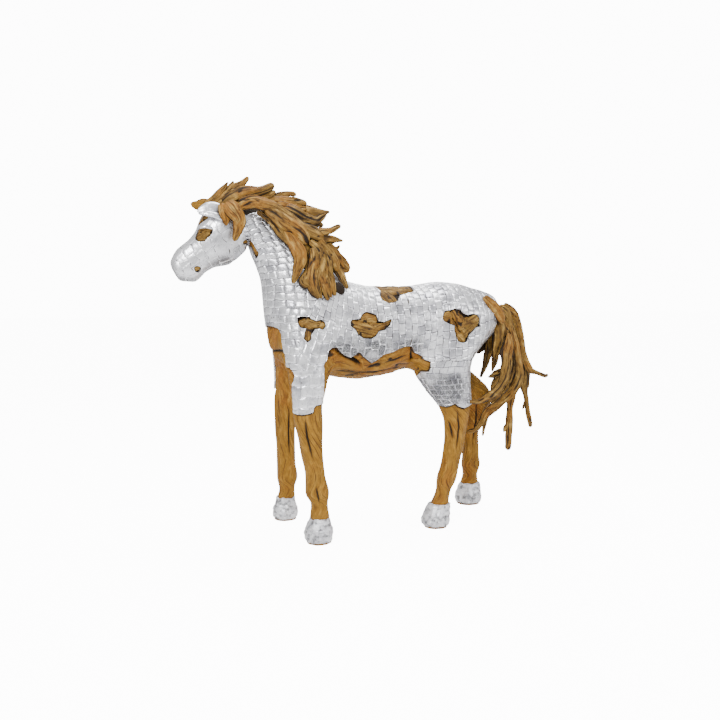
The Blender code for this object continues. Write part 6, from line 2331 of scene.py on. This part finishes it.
@dataclass(frozen=True)
class Studio:
    """A pale floor, soft light and a camera where the picture was taken from.

    Attributes:
        camera: Where the camera is, in metres.
        tilt: How far it is tipped up from looking straight down, in degrees.
        turn: How far it is turned to its left from looking along +y, in degrees.
        lens: How long its lens is, in millimetres.
        sky: How strong the light of the sky is.
        backdrop: How much brighter the camera sees it.
        lights: Each light's name, place, width in metres and power in watts.
    """

    camera: tuple[float, float, float] = (-1.4328, -4.0562, 1.435)
    tilt: float = 84.5
    turn: float = -18.0
    lens: float = 35.0
    sky: float = 0.70
    backdrop: float = 12.0
    lights: tuple[tuple[str, tuple[float, float, float], float, float], ...] = (
        ("key", (-3.2, -4.2, 4.6), 2.0, 340), ("fill", (3.8, -3.6, 3.2), 2.6, 120),
        ("top", (0.2, 0.6, 5.2), 3.0, 200), ("back", (1.5, 4.2, 3.4), 3.0, 50),
    )

    def build(self) -> None:
        """Makes the sky, the floor, the lights and the camera."""
        scene = bpy.context.scene
        scene.world = bpy.data.worlds.new("studio_sky")
        scene.world.use_nodes = True
        nodes = Nodes(scene.world.node_tree)
        seen = nodes.add("ShaderNodeLightPath", {}).outputs["Is Camera Ray"]
        strength = nodes.math("ADD", nodes.times(seen, self.backdrop), self.sky)
        nodes.wire(nodes.tree.nodes["Background"], {"Color": (1, 1, 1, 1), "Strength": strength})
        self.floor()
        for name, place, size, power in self.lights:
            self.light(name, place, size, power)
        camera = add_object("camera", bpy.data.cameras.new("camera"))
        camera.data.lens, camera.data.sensor_width = self.lens, 36.0
        camera.location = self.camera
        camera.rotation_euler = (np.radians(self.tilt), 0.0, np.radians(self.turn))
        scene.camera = camera

    def floor(self, reach: float = 40.0) -> None:
        """Makes a wide pale floor.

        Args:
            reach: How far it goes each way, in metres.
        """
        mesh = bpy.data.meshes.new("floor")
        corners = [(x * reach, y * reach, 0) for x, y in ((-1, -1), (1, -1), (1, 1), (-1, 1))]
        mesh.from_pydata(corners, [], [(0, 1, 2, 3)])
        pale = bpy.data.materials.new("pale_floor")
        pale.use_nodes = True
        nodes = Nodes(pale.node_tree)
        seen = nodes.add("ShaderNodeLightPath", {}).outputs["Is Camera Ray"]
        nodes.wire(pale.node_tree.nodes["Principled BSDF"], {
            "Base Color": (0.92, 0.92, 0.92, 1), "Roughness": 0.9,
            "Emission Color": nodes.mix(seen, (0, 0, 0, 1), (1, 1, 1, 1)),
            "Emission Strength": self.backdrop - 0.4,
        })
        mesh.materials.append(pale)
        made = add_object("floor", mesh)

    @staticmethod
    def light(name: str, place: tuple[float, float, float], size: float, power: float) -> None:
        """Makes one soft light that faces the middle of the horse.

        Args:
            name: What it is called.
            place: Where it is, in metres.
            size: How wide it is, in metres.
            power: How strong it is, in watts.
        """
        lamp = bpy.data.lights.new(name, "AREA")
        lamp.shape, lamp.size, lamp.energy = "DISK", size, power
        made = add_object(name, lamp)
        made.location = place
        x, y, z = np.array([0.0, 0.0, 1.1]) - place
        made.rotation_euler = (float(np.arctan2(np.hypot(x, y), -z)), 0.0, float(np.arctan2(x, -y) + np.pi))


def main() -> None:
    """Builds the horse: form, wood, metal, mane and tail, then the studio round it."""
    logging.basicConfig(level=logging.INFO, format="%(name)s %(message)s")
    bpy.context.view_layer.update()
    form = HorseForm()
    trunk, neck, openings = Skin.of_trunk(form), Skin.of_neck(form), Openings()
    legs = tuple(
        Skin.of_leg(form, rows, side, spare=0.45 if k < 2 else 0.8)
        for k, (rows, side) in enumerate(form.legs)
    )
    grain, hammer = root_grain(), hammer_dents()
    body, mane = BODY_WOOD.make(grain), MANE_WOOD.make(grain)
    plate, hoof = PLATE_METAL.make(hammer), HOOF_METAL.make(hammer)
    CarvedBody(trunk, legs, openings).build(body)
    places = trunk.survey()
    for patch in PATCH_WOODS:
        patch.build(trunk, places, mane)
    Cladding(trunk, neck, legs, openings).build(plate)
    names = ("near_fore_hoof_cap", "far_fore_hoof_cap", "near_hind_hoof_cap", "far_hind_hoof_cap")
    for k, (name, skin) in enumerate(zip(names, legs)):
        HoofCap(name, skin, seed=k * 5).build(hoof)
    ManeAndTail().build(mane, body, plate)
    Studio().build()


if __name__ == "__main__":
    main()
